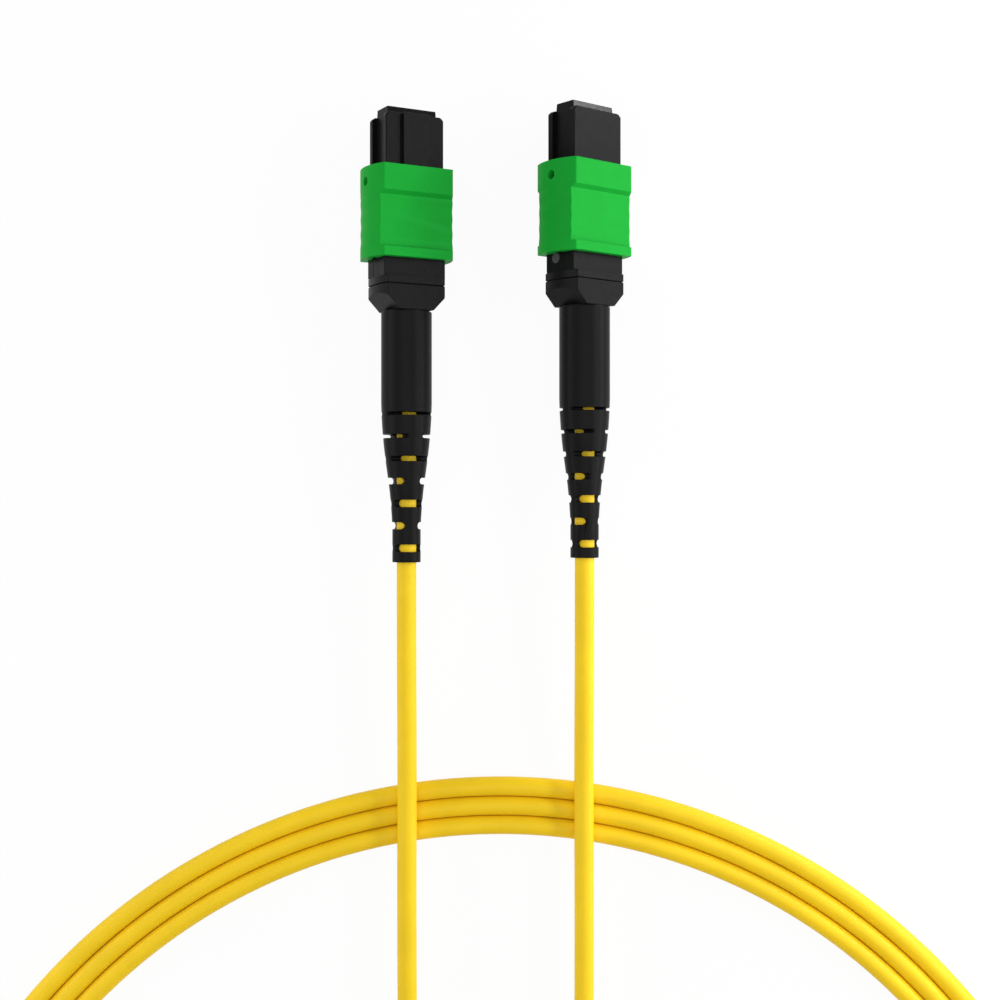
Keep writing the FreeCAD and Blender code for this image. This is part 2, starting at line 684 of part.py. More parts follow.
def cable_end(name, place):
    """The cable's jacket, from inside the crimp ring to the end of the boot."""
    return turned(
        name,
        place,
        [
            ("jacket_bore", "jacket_start"),
            ("cord_radius", "jacket_start"),
            ("cord_radius", "jacket_end"),
            ("jacket_bore", "jacket_end"),
        ],
    )


def fibre_ribbon(name, place):
    """Twelve fibres as a flat ribbon in the plug, gathered to a round bundle in the cable."""
    piece = Piece(name, place)
    flat = piece.sketch("XZ_Plane", "ribbon_start")
    outline(flat, centred("ribbon_half_width", "ribbon_half_height"))
    piece.pad(flat, "ribbon_flat_end - ribbon_start")
    wide = piece.sketch("XZ_Plane", "ribbon_flat_end")
    outline(wide, centred("ribbon_half_width", "ribbon_half_height"))
    narrow = piece.sketch("XZ_Plane", "bundle_start")
    # a square that fits inside the round bundle
    outline(narrow, centred("bundle_radius / sqrt(2) - slip / 2", "bundle_radius / sqrt(2) - slip / 2"))
    gather = piece.feature("PartDesign::AdditiveLoft", "Loft")
    gather.Profile = wide
    gather.Sections = [narrow]
    gather.Ruled = True
    piece.body.Tip = gather
    bundle = piece.sketch("XZ_Plane", "bundle_start")
    circle(bundle, "0", "0", "bundle_radius")
    piece.pad(bundle, "jacket_end - bundle_start")
    return piece


def strain_relief(name, place):
    """The boot: a collar like the flange, then a round tapering tube slotted from alternate sides."""
    piece = Piece(name, place)
    collar = piece.sketch("XZ_Plane", "collar_start")
    outline(collar, collar_outline())
    piece.pad(collar, "collar_end - collar_start")
    slope = piece.sketch("XY_Plane", f"-{FAR}")
    # the slope's line, carried on past the collar's side
    run = "(collar_end - collar_chamfer) / (collar_half_width - collar_end_half_width)"
    outline(
        slope,
        [
            (f"collar_half_width + {CLEAR}", f"-(collar_chamfer - {CLEAR} * {run})"),
            ("collar_end_half_width", "-collar_end"),
            (f"collar_half_width + {CLEAR}", "-collar_end"),
        ],
    )
    slope_cut = piece.pocket(slope, f"{2 * FAR}")
    piece.mirror([slope_cut])
    tube = piece.sketch("XY_Plane")
    outline(
        tube,
        [
            ("0", "-(collar_end - collar_root)"),
            ("collar_root_radius", "-(collar_end - collar_root)"),
            ("collar_root_radius", "-collar_end"),
            ("boot_radius", "-collar_end"),
            ("boot_radius", "-taper_start"),
            ("taper_second_radius", "-taper_second"),
            ("taper_third_radius", "-taper_third"),
            ("tail_radius", "-taper_end"),
            ("tail_radius", "-boot_end"),
            ("0", "-boot_end"),
        ],
    )
    piece.revolve(tube)
    wide_bore = piece.sketch("XZ_Plane", "collar_start")
    circle(wide_bore, "0", "0", "boot_bore")
    piece.pocket(wide_bore, "boot_bore_end - collar_start")
    cable_bore = piece.sketch("XZ_Plane", "boot_bore_end")
    circle(cable_bore, "0", "0", "cable_bore")
    piece.pocket(cable_bore, "boot_end - boot_bore_end")
    # even rows are cut in from above and below, odd rows from the sides
    far_side = f"boot_radius + {CLEAR}"
    upright = piece.sketch("YZ_Plane", f"-{FAR}")
    for row in range(0, len(slot_names), 2):
        front, back, web = slot_place(row)
        outline(upright, box(f"-({back})", f"-({front})", web, far_side))
    upright_cut = piece.pocket(upright, f"{2 * FAR}")
    piece.mirror([upright_cut], "XY_Plane")
    sideways = piece.sketch("XY_Plane", f"-{FAR}")
    for row in range(1, len(slot_names), 2):
        front, back, web = slot_place(row)
        outline(sideways, box(web, far_side, f"-({back})", f"-({front})"))
    sideways_cut = piece.pocket(sideways, f"{2 * FAR}")
    piece.mirror([sideways_cut], "YZ_Plane")
    return piece


def slot_place(row):
    """The stations of one row of slots' front and back, and the half thickness of its web."""
    middle = f"slot_middle + {row} * slot_pitch"
    share = row / (len(slot_names) - 1)
    web = f"slot_web_front + (slot_web_back - slot_web_front) * {share:.4f}"
    return f"{middle} - {slot_names[row]} / 2", f"{middle} + {slot_names[row]} / 2", web


def spring(name, place, across, start, end, mean_radius, wire, turns, sides):
    """A compression spring about a line parallel to the plug's axis, with a closed turn at each end.

    Its wire is square and each turn is so many straight sides, mitred where they meet.
    """
    closed = 1.15 * wire
    active = (end - start - wire - 2 * closed) / turns
    spots = []
    station = start + wire / 2
    for number in range((turns + 2) * sides + 1):
        angle = 2 * math.pi * number / sides
        x, z = mean_radius * math.cos(angle), mean_radius * math.sin(angle)
        spots.append(Vector(across + x, -station, z))
        station += (active if sides <= number < (turns + 1) * sides else closed) / sides
    along = (spots[1] - spots[0]).normalize()
    out = Vector(1, 0, 0)
    up = along.cross(out).normalize() * (wire / 2)
    out = up.cross(along).normalize() * (wire / 2)
    corners = [spots[0] + x * out + y * up for x, y in ((-1, -1), (1, -1), (1, 1), (-1, 1), (-1, -1))]
    sweep = Part.BRepOffsetAPI.MakePipeShell(Part.makePolygon(spots))
    sweep.setTransitionMode(MITRED)
    sweep.add(Part.makePolygon(corners))
    sweep.build()
    sweep.makeSolid()
    feature = doc.addObject("Part::Feature", name)
    feature.Label = name
    feature.Shape = sweep.shape()
    feature.Placement = place
    return feature


# ------------------------------------------------------------------ the free cable


def corner_arcs(points):
    """Straight runs joined by tangent arcs, each as large as its two runs allow; and the radii."""
    edges, radii = [], []
    begin = points[0]
    for before, here, after in zip(points, points[1:], points[2:]):
        back, on = (before - here), (after - here)
        reach = 0.45 * min(back.Length, on.Length)
        back.normalize()
        on.normalize()
        turn = math.pi - back.getAngle(on)
        radius = reach / math.tan(turn / 2)
        middle = (back + on).normalize() * (radius / math.cos(turn / 2) - radius)
        enter, leave = here + back * reach, here + on * reach
        edges.append(Part.LineSegment(begin, enter).toShape())
        edges.append(Part.Arc(enter, here + middle, leave).toShape())
        begin = leave
        radii.append(radius)
    edges.append(Part.LineSegment(begin, points[-1]).toShape())
    return edges, radii


def corner_radius():
    """From the middle of the plain cable's section to its corners: its flats are the cable's surface."""
    return size("cord_radius") / math.cos(math.pi / CORD_SIDES)


def cord_run(name, points):
    """A plain eight-sided tube along a route, as thick as the cable from flat to flat."""
    edges, radii = corner_arcs(points)
    path = Part.Wire(edges)
    along = (points[1] - points[0]).normalize()
    across = along.cross(Vector(0, 0, 1)).normalize()
    up = across.cross(along)
    corners = []
    for side in range(CORD_SIDES + 1):
        angle = 2 * math.pi * (side + 0.5) / CORD_SIDES
        corners.append(points[0] + (across * math.cos(angle) + up * math.sin(angle)) * corner_radius())
    feature = doc.addObject("Part::Feature", name)
    feature.Label = name
    feature.Shape = path.makePipeShell([Part.makePolygon(corners)], True, False)
    expected = Part.Face(Part.makePolygon(corners)).Area * path.Length
    print(f"{name}: {path.Length:.1f} mm, radii {min(radii):.0f} to {max(radii):.0f} mm,")
    print(f"  volume {feature.Shape.Volume:.1f} against {expected:.1f} mm3")
    if abs(feature.Shape.Volume - expected) > 0.01 * expected:
        sys.exit(f"{name} isn't a clean tube")
    return path.Length


def coil_wire(offset):
    """The coil's outline at an offset outwards from its middle strand: a wide arc on top, two side
    arcs and a straight run at the bottom."""
    middle, centre = size("coil_across"), size("coil_centre")
    top, side = size("coil_top_radius"), size("coil_side_radius")
    half = math.radians(size("coil_top_angle"))
    reach = (top - side) * math.sin(half)
    level = centre + (top - side) * math.cos(half)
    edges = []

    def arc(x, y, radius, start, end):
        spots = [
            Vector(x + radius * math.cos(a), y + radius * math.sin(a), 0)
            for a in (start, (start + end) / 2, end)
        ]
        edges.append(Part.Arc(*spots).toShape())

    arc(middle, centre, top + offset, math.pi / 2 - half, math.pi / 2 + half)
    arc(middle - reach, level, side + offset, math.pi / 2 + half, 1.5 * math.pi)
    bottom = level - side - offset
    left, right = Vector(middle - reach, bottom, 0), Vector(middle + reach, bottom, 0)
    edges.append(Part.LineSegment(left, right).toShape())
    arc(middle + reach, level, side + offset, -math.pi / 2, math.pi / 2 - half)
    return Part.Wire(edges)


def turn_wire(offset):
    """The inner turn's outline at an offset outwards from its middle."""
    middle, centre = size("coil_across"), size("turn_centre")
    radius, straight = size("turn_radius") + offset, size("turn_straight")
    left, right = middle - straight, middle + straight
    low_left, low_right = Vector(left, centre - radius, 0), Vector(right, centre - radius, 0)
    high_left, high_right = Vector(left, centre + radius, 0), Vector(right, centre + radius, 0)
    edges = [
        Part.LineSegment(low_left, low_right),
        Part.Arc(low_right, Vector(right + radius, centre, 0), high_right),
        Part.LineSegment(high_right, high_left),
        Part.Arc(high_left, Vector(left - radius, centre, 0), low_left),
    ]
    return Part.Wire([edge.toShape() for edge in edges])


def band(name, loop, spread):
    """The outer shape of turns that lie side by side, the outermost a spread from the middle: a flat
    section with bevelled shoulders, swept round the loop."""
    radius = size("cord_radius")
    start = loop.OrderedEdges[0]
    spot = start.valueAt(start.FirstParameter)
    along = start.tangentAt(start.FirstParameter)
    out = Vector(along.y, -along.x, 0)
    up = Vector(0, 0, radius)
    half, bevel = spread + radius, 0.5 * radius
    top = half - bevel
    # across and up from the middle of the section's foot, in order round it
    places = [(-half, 0), (half, 0), (half, 1.5), (top, 2), (-top, 2), (-half, 1.5)]
    corners = [spot + out * x + up * z for x, z in places]
    section = Part.makePolygon(corners + corners[:1])
    solid = loop.makePipeShell([section], True, False)
    feature = doc.addObject("Part::Feature", name)
    feature.Label = name
    feature.Shape = solid
    print(f"{name}: volume {solid.Volume:.1f} against {Part.Face(section).Area * loop.Length:.1f} mm3")


# ------------------------------------------------------------------ put it together


def stop_on_failures():
    """Recomputing can leave an object failed without raising."""
    failed = [o for o in doc.Objects if "Invalid" in o.State or "Error" in o.State]
    for item in failed:
        print(f"{item.Name} in {item.getParentGeoFeatureGroup().Label} failed: {item.State}")
    if failed:
        sys.exit(1)


def plug(suffix):
    """All pieces of one plug, laid down on the long edge of its sleeve."""
    roll = math.radians(size(f"plug_{suffix}_roll"))
    lowest = (
        size("sleeve_flat") * abs(math.sin(roll))
        + (size("sleeve_half_height") - size("sleeve_corner")) * abs(math.cos(roll))
        + size("sleeve_corner")
    )
    base = Vector(size(f"plug_{suffix}_across"), size(f"plug_{suffix}_front"), lowest)
    place = Placement(base, Rotation(Vector(0, 1, 0), math.degrees(roll)))
    made = {
        "housing": housing,
        "coupling_sleeve": coupling_sleeve,
        "ferrule": ferrule,
        "ferrule_boot": ferrule_boot,
        "pin_keeper": pin_keeper,
        "rear_body": rear_body,
        "crimp_ring": crimp_ring,
        "aramid_yarn": aramid_yarn,
        "cable_end": cable_end,
        "fibre_ribbon": fibre_ribbon,
        "strain_relief": strain_relief,
    }
    nodes = []
    for name, make in made.items():
        piece = make(f"{name}_{suffix}", place)
        doc.recompute()
        stop_on_failures()
        for cut in piece.cuts:
            if cut.Shape.Volume > cut.BaseFeature.Shape.Volume - 1e-6:
                sys.exit(f"{cut.Name} of {piece.body.Label} cuts nothing")
        nodes.append(piece.body)
    gap, wire = size("spring_gap"), size("coupling_wire")
    start, end = size("ledge_back") + gap, size("arm_front") - gap
    for side, sign in (("left", -1), ("right", 1)):
        across = sign * size("coupling_offset")
        name = f"coupling_spring_{side}_{suffix}"
        nodes.append(
            spring(name, place, across, start, end, size("coupling_radius"), wire, *COUPLING_SPRING)
        )
    start, end = size("keeper_end") + gap, size("seat_station") - gap
    radius, wire = size("main_radius"), size("main_wire")
    nodes.append(spring(f"main_spring_{suffix}", place, 0, start, end, radius, wire, *MAIN_SPRING))
    exit_point = place.multVec(Vector(0, -size("jacket_end"), 0))
    return nodes, exit_point


nodes_a, exit_a = plug("a")
nodes_b, exit_b = plug("b")

# each plug holds the cable at its own height as far as the first bend
bend_a = Vector(*BEND_A, exit_a.z)
bend_b = Vector(*BEND_B, exit_b.z)
length = cord_run("cord_run_a", [exit_a, bend_a] + [Vector(*spot) for spot in ROUTE_A])
length += cord_run("cord_run_b", [Vector(*spot) for spot in ROUTE_B] + [bend_b, exit_b])
band("cord_coil", coil_wire(0), size("strand_pitch"))
band("cord_inner_turn", turn_wire(0), 0)
for strand in (-1, 0, 1):
    length += coil_wire(strand * size("strand_pitch")).Length
length += turn_wire(0).Length
print(f"free cable with full turns, plug to plug: {length:.0f} mm")

doc.recompute()
parts = [o for o in doc.Objects if o.TypeId in ("PartDesign::Body", "Part::Feature")]
stop_on_failures()
os.makedirs("parts", exist_ok=True)
for part in parts:
    if part.Shape.isNull() or not part.Shape.isValid() or len(part.Shape.Solids) != 1:
        sys.exit(f"{part.Label} isn't one valid solid")
for part in parts:
    part.Shape.exportStep(f"parts/{part.Label}.step")
print(f"{len(parts)} nodes written")
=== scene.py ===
"""Looks of a two-ended multi-fibre patch cord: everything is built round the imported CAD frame.

Metres throughout, in the frame's own axes: +Z up, the two plugs' noses along +Y.  A plug's own
axes are X across it, Z towards its key, and the station, which counts from its nose to its tail.
"""

import json
import math

import bmesh
import bpy
from mathutils import Matrix, Vector


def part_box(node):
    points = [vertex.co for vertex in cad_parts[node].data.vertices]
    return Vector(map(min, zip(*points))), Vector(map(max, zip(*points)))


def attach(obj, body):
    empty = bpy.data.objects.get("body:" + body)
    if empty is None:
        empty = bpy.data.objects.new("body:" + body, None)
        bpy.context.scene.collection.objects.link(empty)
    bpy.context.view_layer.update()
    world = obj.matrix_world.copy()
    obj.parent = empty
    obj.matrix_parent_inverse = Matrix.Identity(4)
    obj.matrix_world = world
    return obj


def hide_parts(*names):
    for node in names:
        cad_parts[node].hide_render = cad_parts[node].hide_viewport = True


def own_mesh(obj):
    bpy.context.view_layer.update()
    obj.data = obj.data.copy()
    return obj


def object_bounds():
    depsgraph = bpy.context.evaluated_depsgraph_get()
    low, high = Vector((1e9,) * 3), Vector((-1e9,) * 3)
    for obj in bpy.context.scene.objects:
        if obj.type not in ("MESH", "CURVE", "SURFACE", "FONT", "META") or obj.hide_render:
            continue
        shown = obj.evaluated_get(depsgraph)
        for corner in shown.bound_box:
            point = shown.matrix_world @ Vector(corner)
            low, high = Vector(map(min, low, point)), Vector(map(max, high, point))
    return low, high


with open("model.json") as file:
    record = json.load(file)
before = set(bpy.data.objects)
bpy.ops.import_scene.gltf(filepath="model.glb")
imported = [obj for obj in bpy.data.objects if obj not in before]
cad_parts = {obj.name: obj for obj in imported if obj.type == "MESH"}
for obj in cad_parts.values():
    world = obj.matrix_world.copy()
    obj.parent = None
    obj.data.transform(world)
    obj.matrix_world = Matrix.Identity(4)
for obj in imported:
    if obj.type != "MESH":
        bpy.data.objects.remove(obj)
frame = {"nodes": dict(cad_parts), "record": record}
cad_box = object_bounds()

MM = 0.001
ENDS = ("a", "b")

# ------------------------------------------------------------------ camera

VIEW_CENTRE = (0.7 * MM, -25.45 * MM)
CAMERA_HEIGHT = 245.3 * MM
LENS = 55.8
SENSOR_WIDTH = 36

camera = bpy.data.objects.new("camera", bpy.data.cameras.new("camera"))
camera.data.lens = LENS
camera.data.sensor_width = SENSOR_WIDTH
camera.data.clip_start = 0.01
camera.location = (*VIEW_CENTRE, CAMERA_HEIGHT)
bpy.context.scene.collection.objects.link(camera)
bpy.context.scene.camera = camera

# ------------------------------------------------------------------ shader graphs


class Shader:
    """A material's node graph round one Principled shader, with short names for what repeats."""

    def __init__(self, name, roughness=0.5, specular=0.5, **constants):
        self.material = bpy.data.materials.new(name)
        self.material.use_nodes = True
        self.tree = self.material.node_tree
        self.surface = self.tree.nodes["Principled BSDF"]
        self.surface.inputs["Roughness"].default_value = roughness
        self.surface.inputs["Specular IOR Level"].default_value = specular
        for socket, value in constants.items():
            self.surface.inputs[socket.replace("_", " ")].default_value = value
        self.place = self.node("ShaderNodeTexCoord").outputs["Object"]

    def node(self, kind, **settings):
        made = self.tree.nodes.new(kind)
        for name, value in settings.items():
            setattr(made, name, value)
        return made

    def link(self, source, target):
        self.tree.links.new(source, target)

    def mapped(self, scale, turn=(0, 0, 0)):
        """Object coordinates turned and stretched, so that a texture can run along a piece."""
        mapping = self.node("ShaderNodeMapping")
        mapping.inputs["Rotation"].default_value = turn
        mapping.inputs["Scale"].default_value = scale
        self.link(self.place, mapping.inputs["Vector"])
        return mapping.outputs["Vector"]

    def noise(self, size, detail=3, place=None):
        """Noise whose features are about that many metres across."""
        texture = self.node("ShaderNodeTexNoise")
        texture.inputs["Scale"].default_value = 1 / size
        texture.inputs["Detail"].default_value = detail
        texture.inputs["Roughness"].default_value = 0.55
        self.link(place or self.place, texture.inputs["Vector"])
        return texture.outputs["Fac"]

    def cells(self, size):
        """Rounded cells, about that many metres across."""
        texture = self.node("ShaderNodeTexVoronoi")
        texture.inputs["Scale"].default_value = 1 / size
        self.link(self.place, texture.inputs["Vector"])
        return texture.outputs["Distance"]

    def spread(self, value, low, high, start=0.3, end=0.7):
        """Value from start to end, stretched to run from low to high."""
        ranged = self.node("ShaderNodeMapRange")
        ranged.inputs["From Min"].default_value = start
        ranged.inputs["From Max"].default_value = end
        ranged.inputs["To Min"].default_value = low
        ranged.inputs["To Max"].default_value = high
        self.link(value, ranged.inputs["Value"])
        return ranged.outputs["Result"]

    def mix(self, factor, first, second):
        """Two colours, each a tuple or a socket, mixed by a socket or a number."""
        mixed = self.node("ShaderNodeMix", data_type="RGBA")
        for socket, value in (("Factor", factor), ("A", first), ("B", second)):
            kind = "VALUE" if socket == "Factor" else "RGBA"
            target = [i for i in mixed.inputs if i.name == socket and i.type == kind][0]
            if isinstance(value, bpy.types.NodeSocket):
                self.link(value, target)
            elif socket == "Factor":
                target.default_value = value
            else:
                target.default_value = (*value, 1)
        return [o for o in mixed.outputs if o.type == "RGBA"][0]

    def worn_edges(self, strength):
        """0 on flats, rising on convex edges, where handling polishes a moulding."""
        edges = self.node("ShaderNodeNewGeometry").outputs["Pointiness"]
        return self.spread(edges, 0, strength, 0.52, 0.62)

    def colour(self, socket):
        self.link(socket, self.surface.inputs["Base Color"])

    def roughness(self, socket):
        self.link(socket, self.surface.inputs["Roughness"])

    def bumps(self, *layers):
        """Layers of (height socket, depth in metres), the coarsest first."""
        normal = None
        for height, depth in layers:
            bump = self.node("ShaderNodeBump")
            bump.inputs["Strength"].default_value = 1
            bump.inputs["Distance"].default_value = depth
            self.link(height, bump.inputs["Height"])
            if normal:
                self.link(normal, bump.inputs["Normal"])
            normal = bump.outputs["Normal"]
        self.link(normal, self.surface.inputs["Normal"])


def moulded(name, colour, edge, roughness, specular, grain=0.09 * MM, depth=0.0012 * MM):
    """An injection moulding: a fine spark-eroded grain, faint flow mottling, and worn edges."""
    look = Shader(name, specular=specular)
    flow = look.noise(3.5 * MM, 2)
    darker = tuple(0.97 * c for c in colour)
    lighter = tuple(1.03 * c for c in colour)
    base = look.mix(look.spread(flow, 0, 1), darker, lighter)
    base = look.mix(look.worn_edges(0.25), base, edge)
    look.colour(base)
    look.roughness(look.spread(look.noise(0.8 * MM, 4), roughness - 0.04, roughness + 0.05))
    look.bumps((look.cells(grain), depth))
    return look.material


GREEN = (0.0085, 0.335, 0.031)
GREEN_EDGE = (0.02, 0.42, 0.06)
BLACK = (0.0045, 0.0045, 0.0048)
BLACK_EDGE = (0.011, 0.011, 0.0115)
RUBBER = (0.006, 0.006, 0.0062)
# painted highlight: the mark on the snap arm is grey, lighter than the black round it, for the light
# that its dish catches
MARK_PAINTED_HIGHLIGHT = (0.06, 0.06, 0.062)
YELLOW = (0.89, 0.6, 0.01)

green = moulded("green_plastic", GREEN, GREEN_EDGE, 0.42, 0.03)
black = moulded("black_plastic", BLACK, BLACK_EDGE, 0.34, 0.06)
lip_black = moulded("polished_lip", BLACK, BLACK_EDGE, 0.16, 0.062, depth=0.0002 * MM)
# the mark's look: its grey is a painted highlight
mark_painted_highlight = moulded("mark_painted_highlight", MARK_PAINTED_HIGHLIGHT, MARK_PAINTED_HIGHLIGHT, 0.6, 0.1)
rubber = moulded("boot_elastomer", RUBBER, BLACK_EDGE, 0.37, 0.055, 0.12 * MM)
boot_black = moulded("ferrule_boot_rubber", RUBBER, BLACK_EDGE, 0.6, 0.2, 0.06 * MM)


def jacket_look():
    """The extruded jacket: satin yellow, faintly mottled, with a fine dusty grain."""
    look = Shader("yellow_jacket", specular=0.2)
    tone = look.noise(9 * MM, 3)
    darker = tuple(0.94 * c for c in YELLOW)
    lighter = tuple(1.03 * c for c in YELLOW)
    look.colour(look.mix(look.spread(tone, 0, 1), darker, lighter))
    look.roughness(look.spread(look.noise(1.2 * MM, 4), 0.4, 0.52))
    look.bumps((look.noise(0.35 * MM, 4), 0.006 * MM))
    return look.material


def steel_look(name, colour, roughness, streaks):
    """Drawn wire or stamped strip: fine streaks along the metal."""
    look = Shader(name, Metallic=1.0)
    drawn = look.noise(0.6 * MM, 5, look.mapped((streaks, 1, streaks)))
    darker = tuple(0.75 * c for c in colour)
    look.colour(look.mix(look.spread(drawn, 0, 1), darker, colour))
    look.roughness(look.spread(drawn, roughness - 0.07, roughness + 0.1))
    look.bumps((drawn, 0.003 * MM))
    return look.material


def yarn_look():
    """Strength yarn: matted filaments that run along the cable."""
    look = Shader("aramid_yarn", roughness=0.75, specular=0.25, Sheen_Weight=0.25)
    filament = look.noise(0.09 * MM, 4, look.mapped((1, 0.05, 1)))
    tuft = look.noise(0.7 * MM, 2, look.mapped((1, 0.25, 1)))
    straw = look.mix(look.spread(filament, 0, 1), (0.5, 0.33, 0.05), (0.86, 0.66, 0.2))
    look.colour(look.mix(look.spread(tuft, 0, 0.5), straw, (0.9, 0.74, 0.3)))
    look.bumps((tuft, 0.06 * MM), (filament, 0.03 * MM))
    return look.material


def ferrule_look():
    """Filled thermoset: dark, with pale glass specks, lapped smooth."""
    look = Shader("ferrule_polymer", specular=0.5)
    specks = look.spread(look.cells(0.06 * MM), 0.5, 0, 0.02, 0.2)
    base = look.mix(look.spread(look.noise(1.5 * MM), 0, 1), (0.02, 0.021, 0.024), (0.032, 0.033, 0.037))
    look.colour(look.mix(specks, base, (0.11, 0.11, 0.12)))
    look.roughness(look.spread(look.noise(0.3 * MM, 4), 0.24, 0.36))
    look.bumps((look.cells(0.08 * MM), 0.0008 * MM))
    return look.material


def glass_look():
    """Polished fibre ends set in their holes."""
    look = Shader("fibre_end", specular=0.8, roughness=0.08)
    look.colour(look.mix(look.spread(look.cells(0.1 * MM), 0, 1), (0.62, 0.7, 0.76), (0.8, 0.86, 0.9)))
    return look.material


jacket = jacket_look()
spring_steel = steel_look("spring_steel", (0.62, 0.62, 0.64), 0.28, 6)
keeper_steel = steel_look("keeper_strip", (0.6, 0.6, 0.6), 0.34, 12)
crimp_metal = steel_look("crimp_metal", (0.66, 0.65, 0.62), 0.36, 9)
yarn = yarn_look()
ferrule_black = ferrule_look()
glass = glass_look()

# ------------------------------------------------------------------ the cable

CABLE_RADIUS = 1.51 * MM
STRAND_PITCH = 3.02 * MM
ON_FLOOR = 1.5 * MM

# The same points as the CAD route, each run between a plug and the coil.
ROUTE_A = [
    (-0.0137, -0.0680, 0.00475),
    (-0.0138, -0.0895, 0.0046),
    (-0.0136, -0.1190, 0.0046),
    (-0.0130, -0.1394, 0.0015),
    (-0.0088, -0.1564, 0.0015),
    (0.0007, -0.1689, 0.0015),
]
ROUTE_B = [
    (-0.0253, -0.18449, 0.0015),
    (-0.0153, -0.18449, 0.0026),
    (-0.0043, -0.1834, 0.0047),
    (0.0057, -0.1779, 0.0047),
    (0.0115, -0.1684, 0.0046),
    (0.0135, -0.1544, 0.0026),
    (0.0139, -0.1384, 0.0015),
    (0.0137, -0.1214, 0.0045),
    (0.0138, -0.0934, 0.0046),
    (0.0137, -0.0674, 0.00475),
]
# the y of the point behind each boot that keeps the cable straight as it leaves
BEND_A = -0.0505
BEND_B = -0.0496

# a turn of the coil: a wide arc over the top and a tighter one down each side, level at the bottom
COIL_ACROSS = 0.7 * MM
COIL_TOP_CENTRE = -166.15 * MM
COIL_TOP_RADIUS = 92.7 * MM
COIL_TOP_ANGLE = math.radians(51.5)
COIL_SIDE_RADIUS = 45.0 * MM
# the inner turn: two half circles with a straight stretch between them
TURN_CENTRE = -142.35 * MM
TURN_RADIUS = 33.0 * MM
TURN_STRAIGHT = 10.5 * MM
# along the bottom of the coil each turn moves out to make room for the next: (x, share of a pitch)
SHIFTS = [(-28.0 * MM, 0.0), (-9.0 * MM, 0.12), (10.0 * MM, 0.7), (28.0 * MM, 1.0)]


def arc_points(x, y, radius, start, end, steps):
    """Control points whose smooth spline follows an arc, anticlockwise from start to end."""
    step = (end - start) / steps
    reach = radius / math.cos(step / 2)
    angles = [start + step * (i + 0.5) for i in range(steps)]
    return [(x + reach * math.cos(a), y + reach * math.sin(a), ON_FLOOR) for a in angles]


def bottom_points(level):
    """Points along the bottom of the coil, where a turn moves out by one strand."""
    return [(x, level - share * STRAND_PITCH, ON_FLOOR) for x, share in SHIFTS]


def coil_turn(offset):
    """One turn from the bottom right round to the bottom, where it moves out by a strand."""
    reach = (COIL_TOP_RADIUS - COIL_SIDE_RADIUS) * math.sin(COIL_TOP_ANGLE)
    level = COIL_TOP_CENTRE + (COIL_TOP_RADIUS - COIL_SIDE_RADIUS) * math.cos(COIL_TOP_ANGLE)
    top, side = COIL_TOP_RADIUS + offset, COIL_SIDE_RADIUS + offset
    east = math.pi / 2 - COIL_TOP_ANGLE
    west = math.pi / 2 + COIL_TOP_ANGLE
    points = arc_points(COIL_ACROSS + reach, level, side, -math.pi / 2, east, 6)
    points += arc_points(COIL_ACROSS, COIL_TOP_CENTRE, top, east, west, 10)
    points += arc_points(COIL_ACROSS - reach, level, side, west, 1.5 * math.pi, 6)
    return points, level - side


def cable_points():
    """Every control point from boot a round to boot b, and where the cable leaves boot a."""
    exits = []
    for end, bend in (("a", BEND_A), ("b", BEND_B)):
        low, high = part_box(f"strain_relief_{end}")
        middle = (low + high) / 2
        exits.append([(middle.x, low.y, middle.z), (middle.x, bend, middle.z)])
    points = exits[0] + ROUTE_A
    right = COIL_ACROSS + TURN_STRAIGHT
    left = COIL_ACROSS - TURN_STRAIGHT
    points += arc_points(right, TURN_CENTRE, TURN_RADIUS, -math.pi / 2, math.pi / 2, 8)
    points += arc_points(left, TURN_CENTRE, TURN_RADIUS, math.pi / 2, 1.5 * math.pi, 8)
    points += bottom_points(TURN_CENTRE - TURN_RADIUS)[1:]
    for strand in (-1, 0, 1):
        turn, level = coil_turn(strand * STRAND_PITCH)
        points += turn
        if strand < 1:
            points += bottom_points(level)
    points += ROUTE_B + exits[1][::-1]
    return points, exits[0][0]


def make_cable():
    """The one free cable: a smooth spline that its points guide from boot to boot."""
    points, start = cable_points()
    curve = bpy.data.curves.new("patch_cable", "CURVE")
    curve.dimensions = "3D"
    spline = curve.splines.new("NURBS")
    spline.points.add(len(points) - 1)
    for spot, point in zip(points, spline.points):
        point.co = (*spot, 1)
    spline.order_u = 3
    spline.use_endpoint_u = True
    spline.resolution_u = 8
    curve.bevel_depth = CABLE_RADIUS
    curve.bevel_resolution = 6
    curve.use_fill_caps = True
    curve.materials.append(jacket)
    cable = bpy.data.objects.new("patch_cable", curve)
    bpy.context.scene.collection.objects.link(cable)
    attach(cable, "root")
    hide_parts("cord_run_a", "cord_run_b", "cord_coil", "cord_inner_turn")


make_cable()

# ------------------------------------------------------------------ each plug's own axes

GUIDE_MOUNT = 3.7 * MM  # station of the guide pin mounts, halfway along their holes


def plug_axes(end):
    """From a plug's own X, station and Z to the frame: its roll is read from its guide pin holes."""
    holes = {m["name"]: Vector(m["pos_m"]) for m in frame["record"]["mounts"]}
    left, right = holes[f"guide_hole_left_{end}"], holes[f"guide_hole_right_{end}"]
    rightward = (right - left).normalized()
    back = Vector((0, -1, 0))
    up = rightward.cross(Vector((0, 1, 0)))
    axes = Matrix((rightward, back, up)).transposed().to_4x4()
    axes.translation = (left + right) / 2 - back * GUIDE_MOUNT
    return axes


AXES = {end: plug_axes(end) for end in ENDS}

# ------------------------------------------------------------------ solids in a plug's own axes
#
# These are drawn in millimetres as (x, station, z) and put in their place when they are finished.

FAR = 20.0  # beyond the plug on every side
CLEAR = 3.0  # how far a cut runs on past the surface that it opens


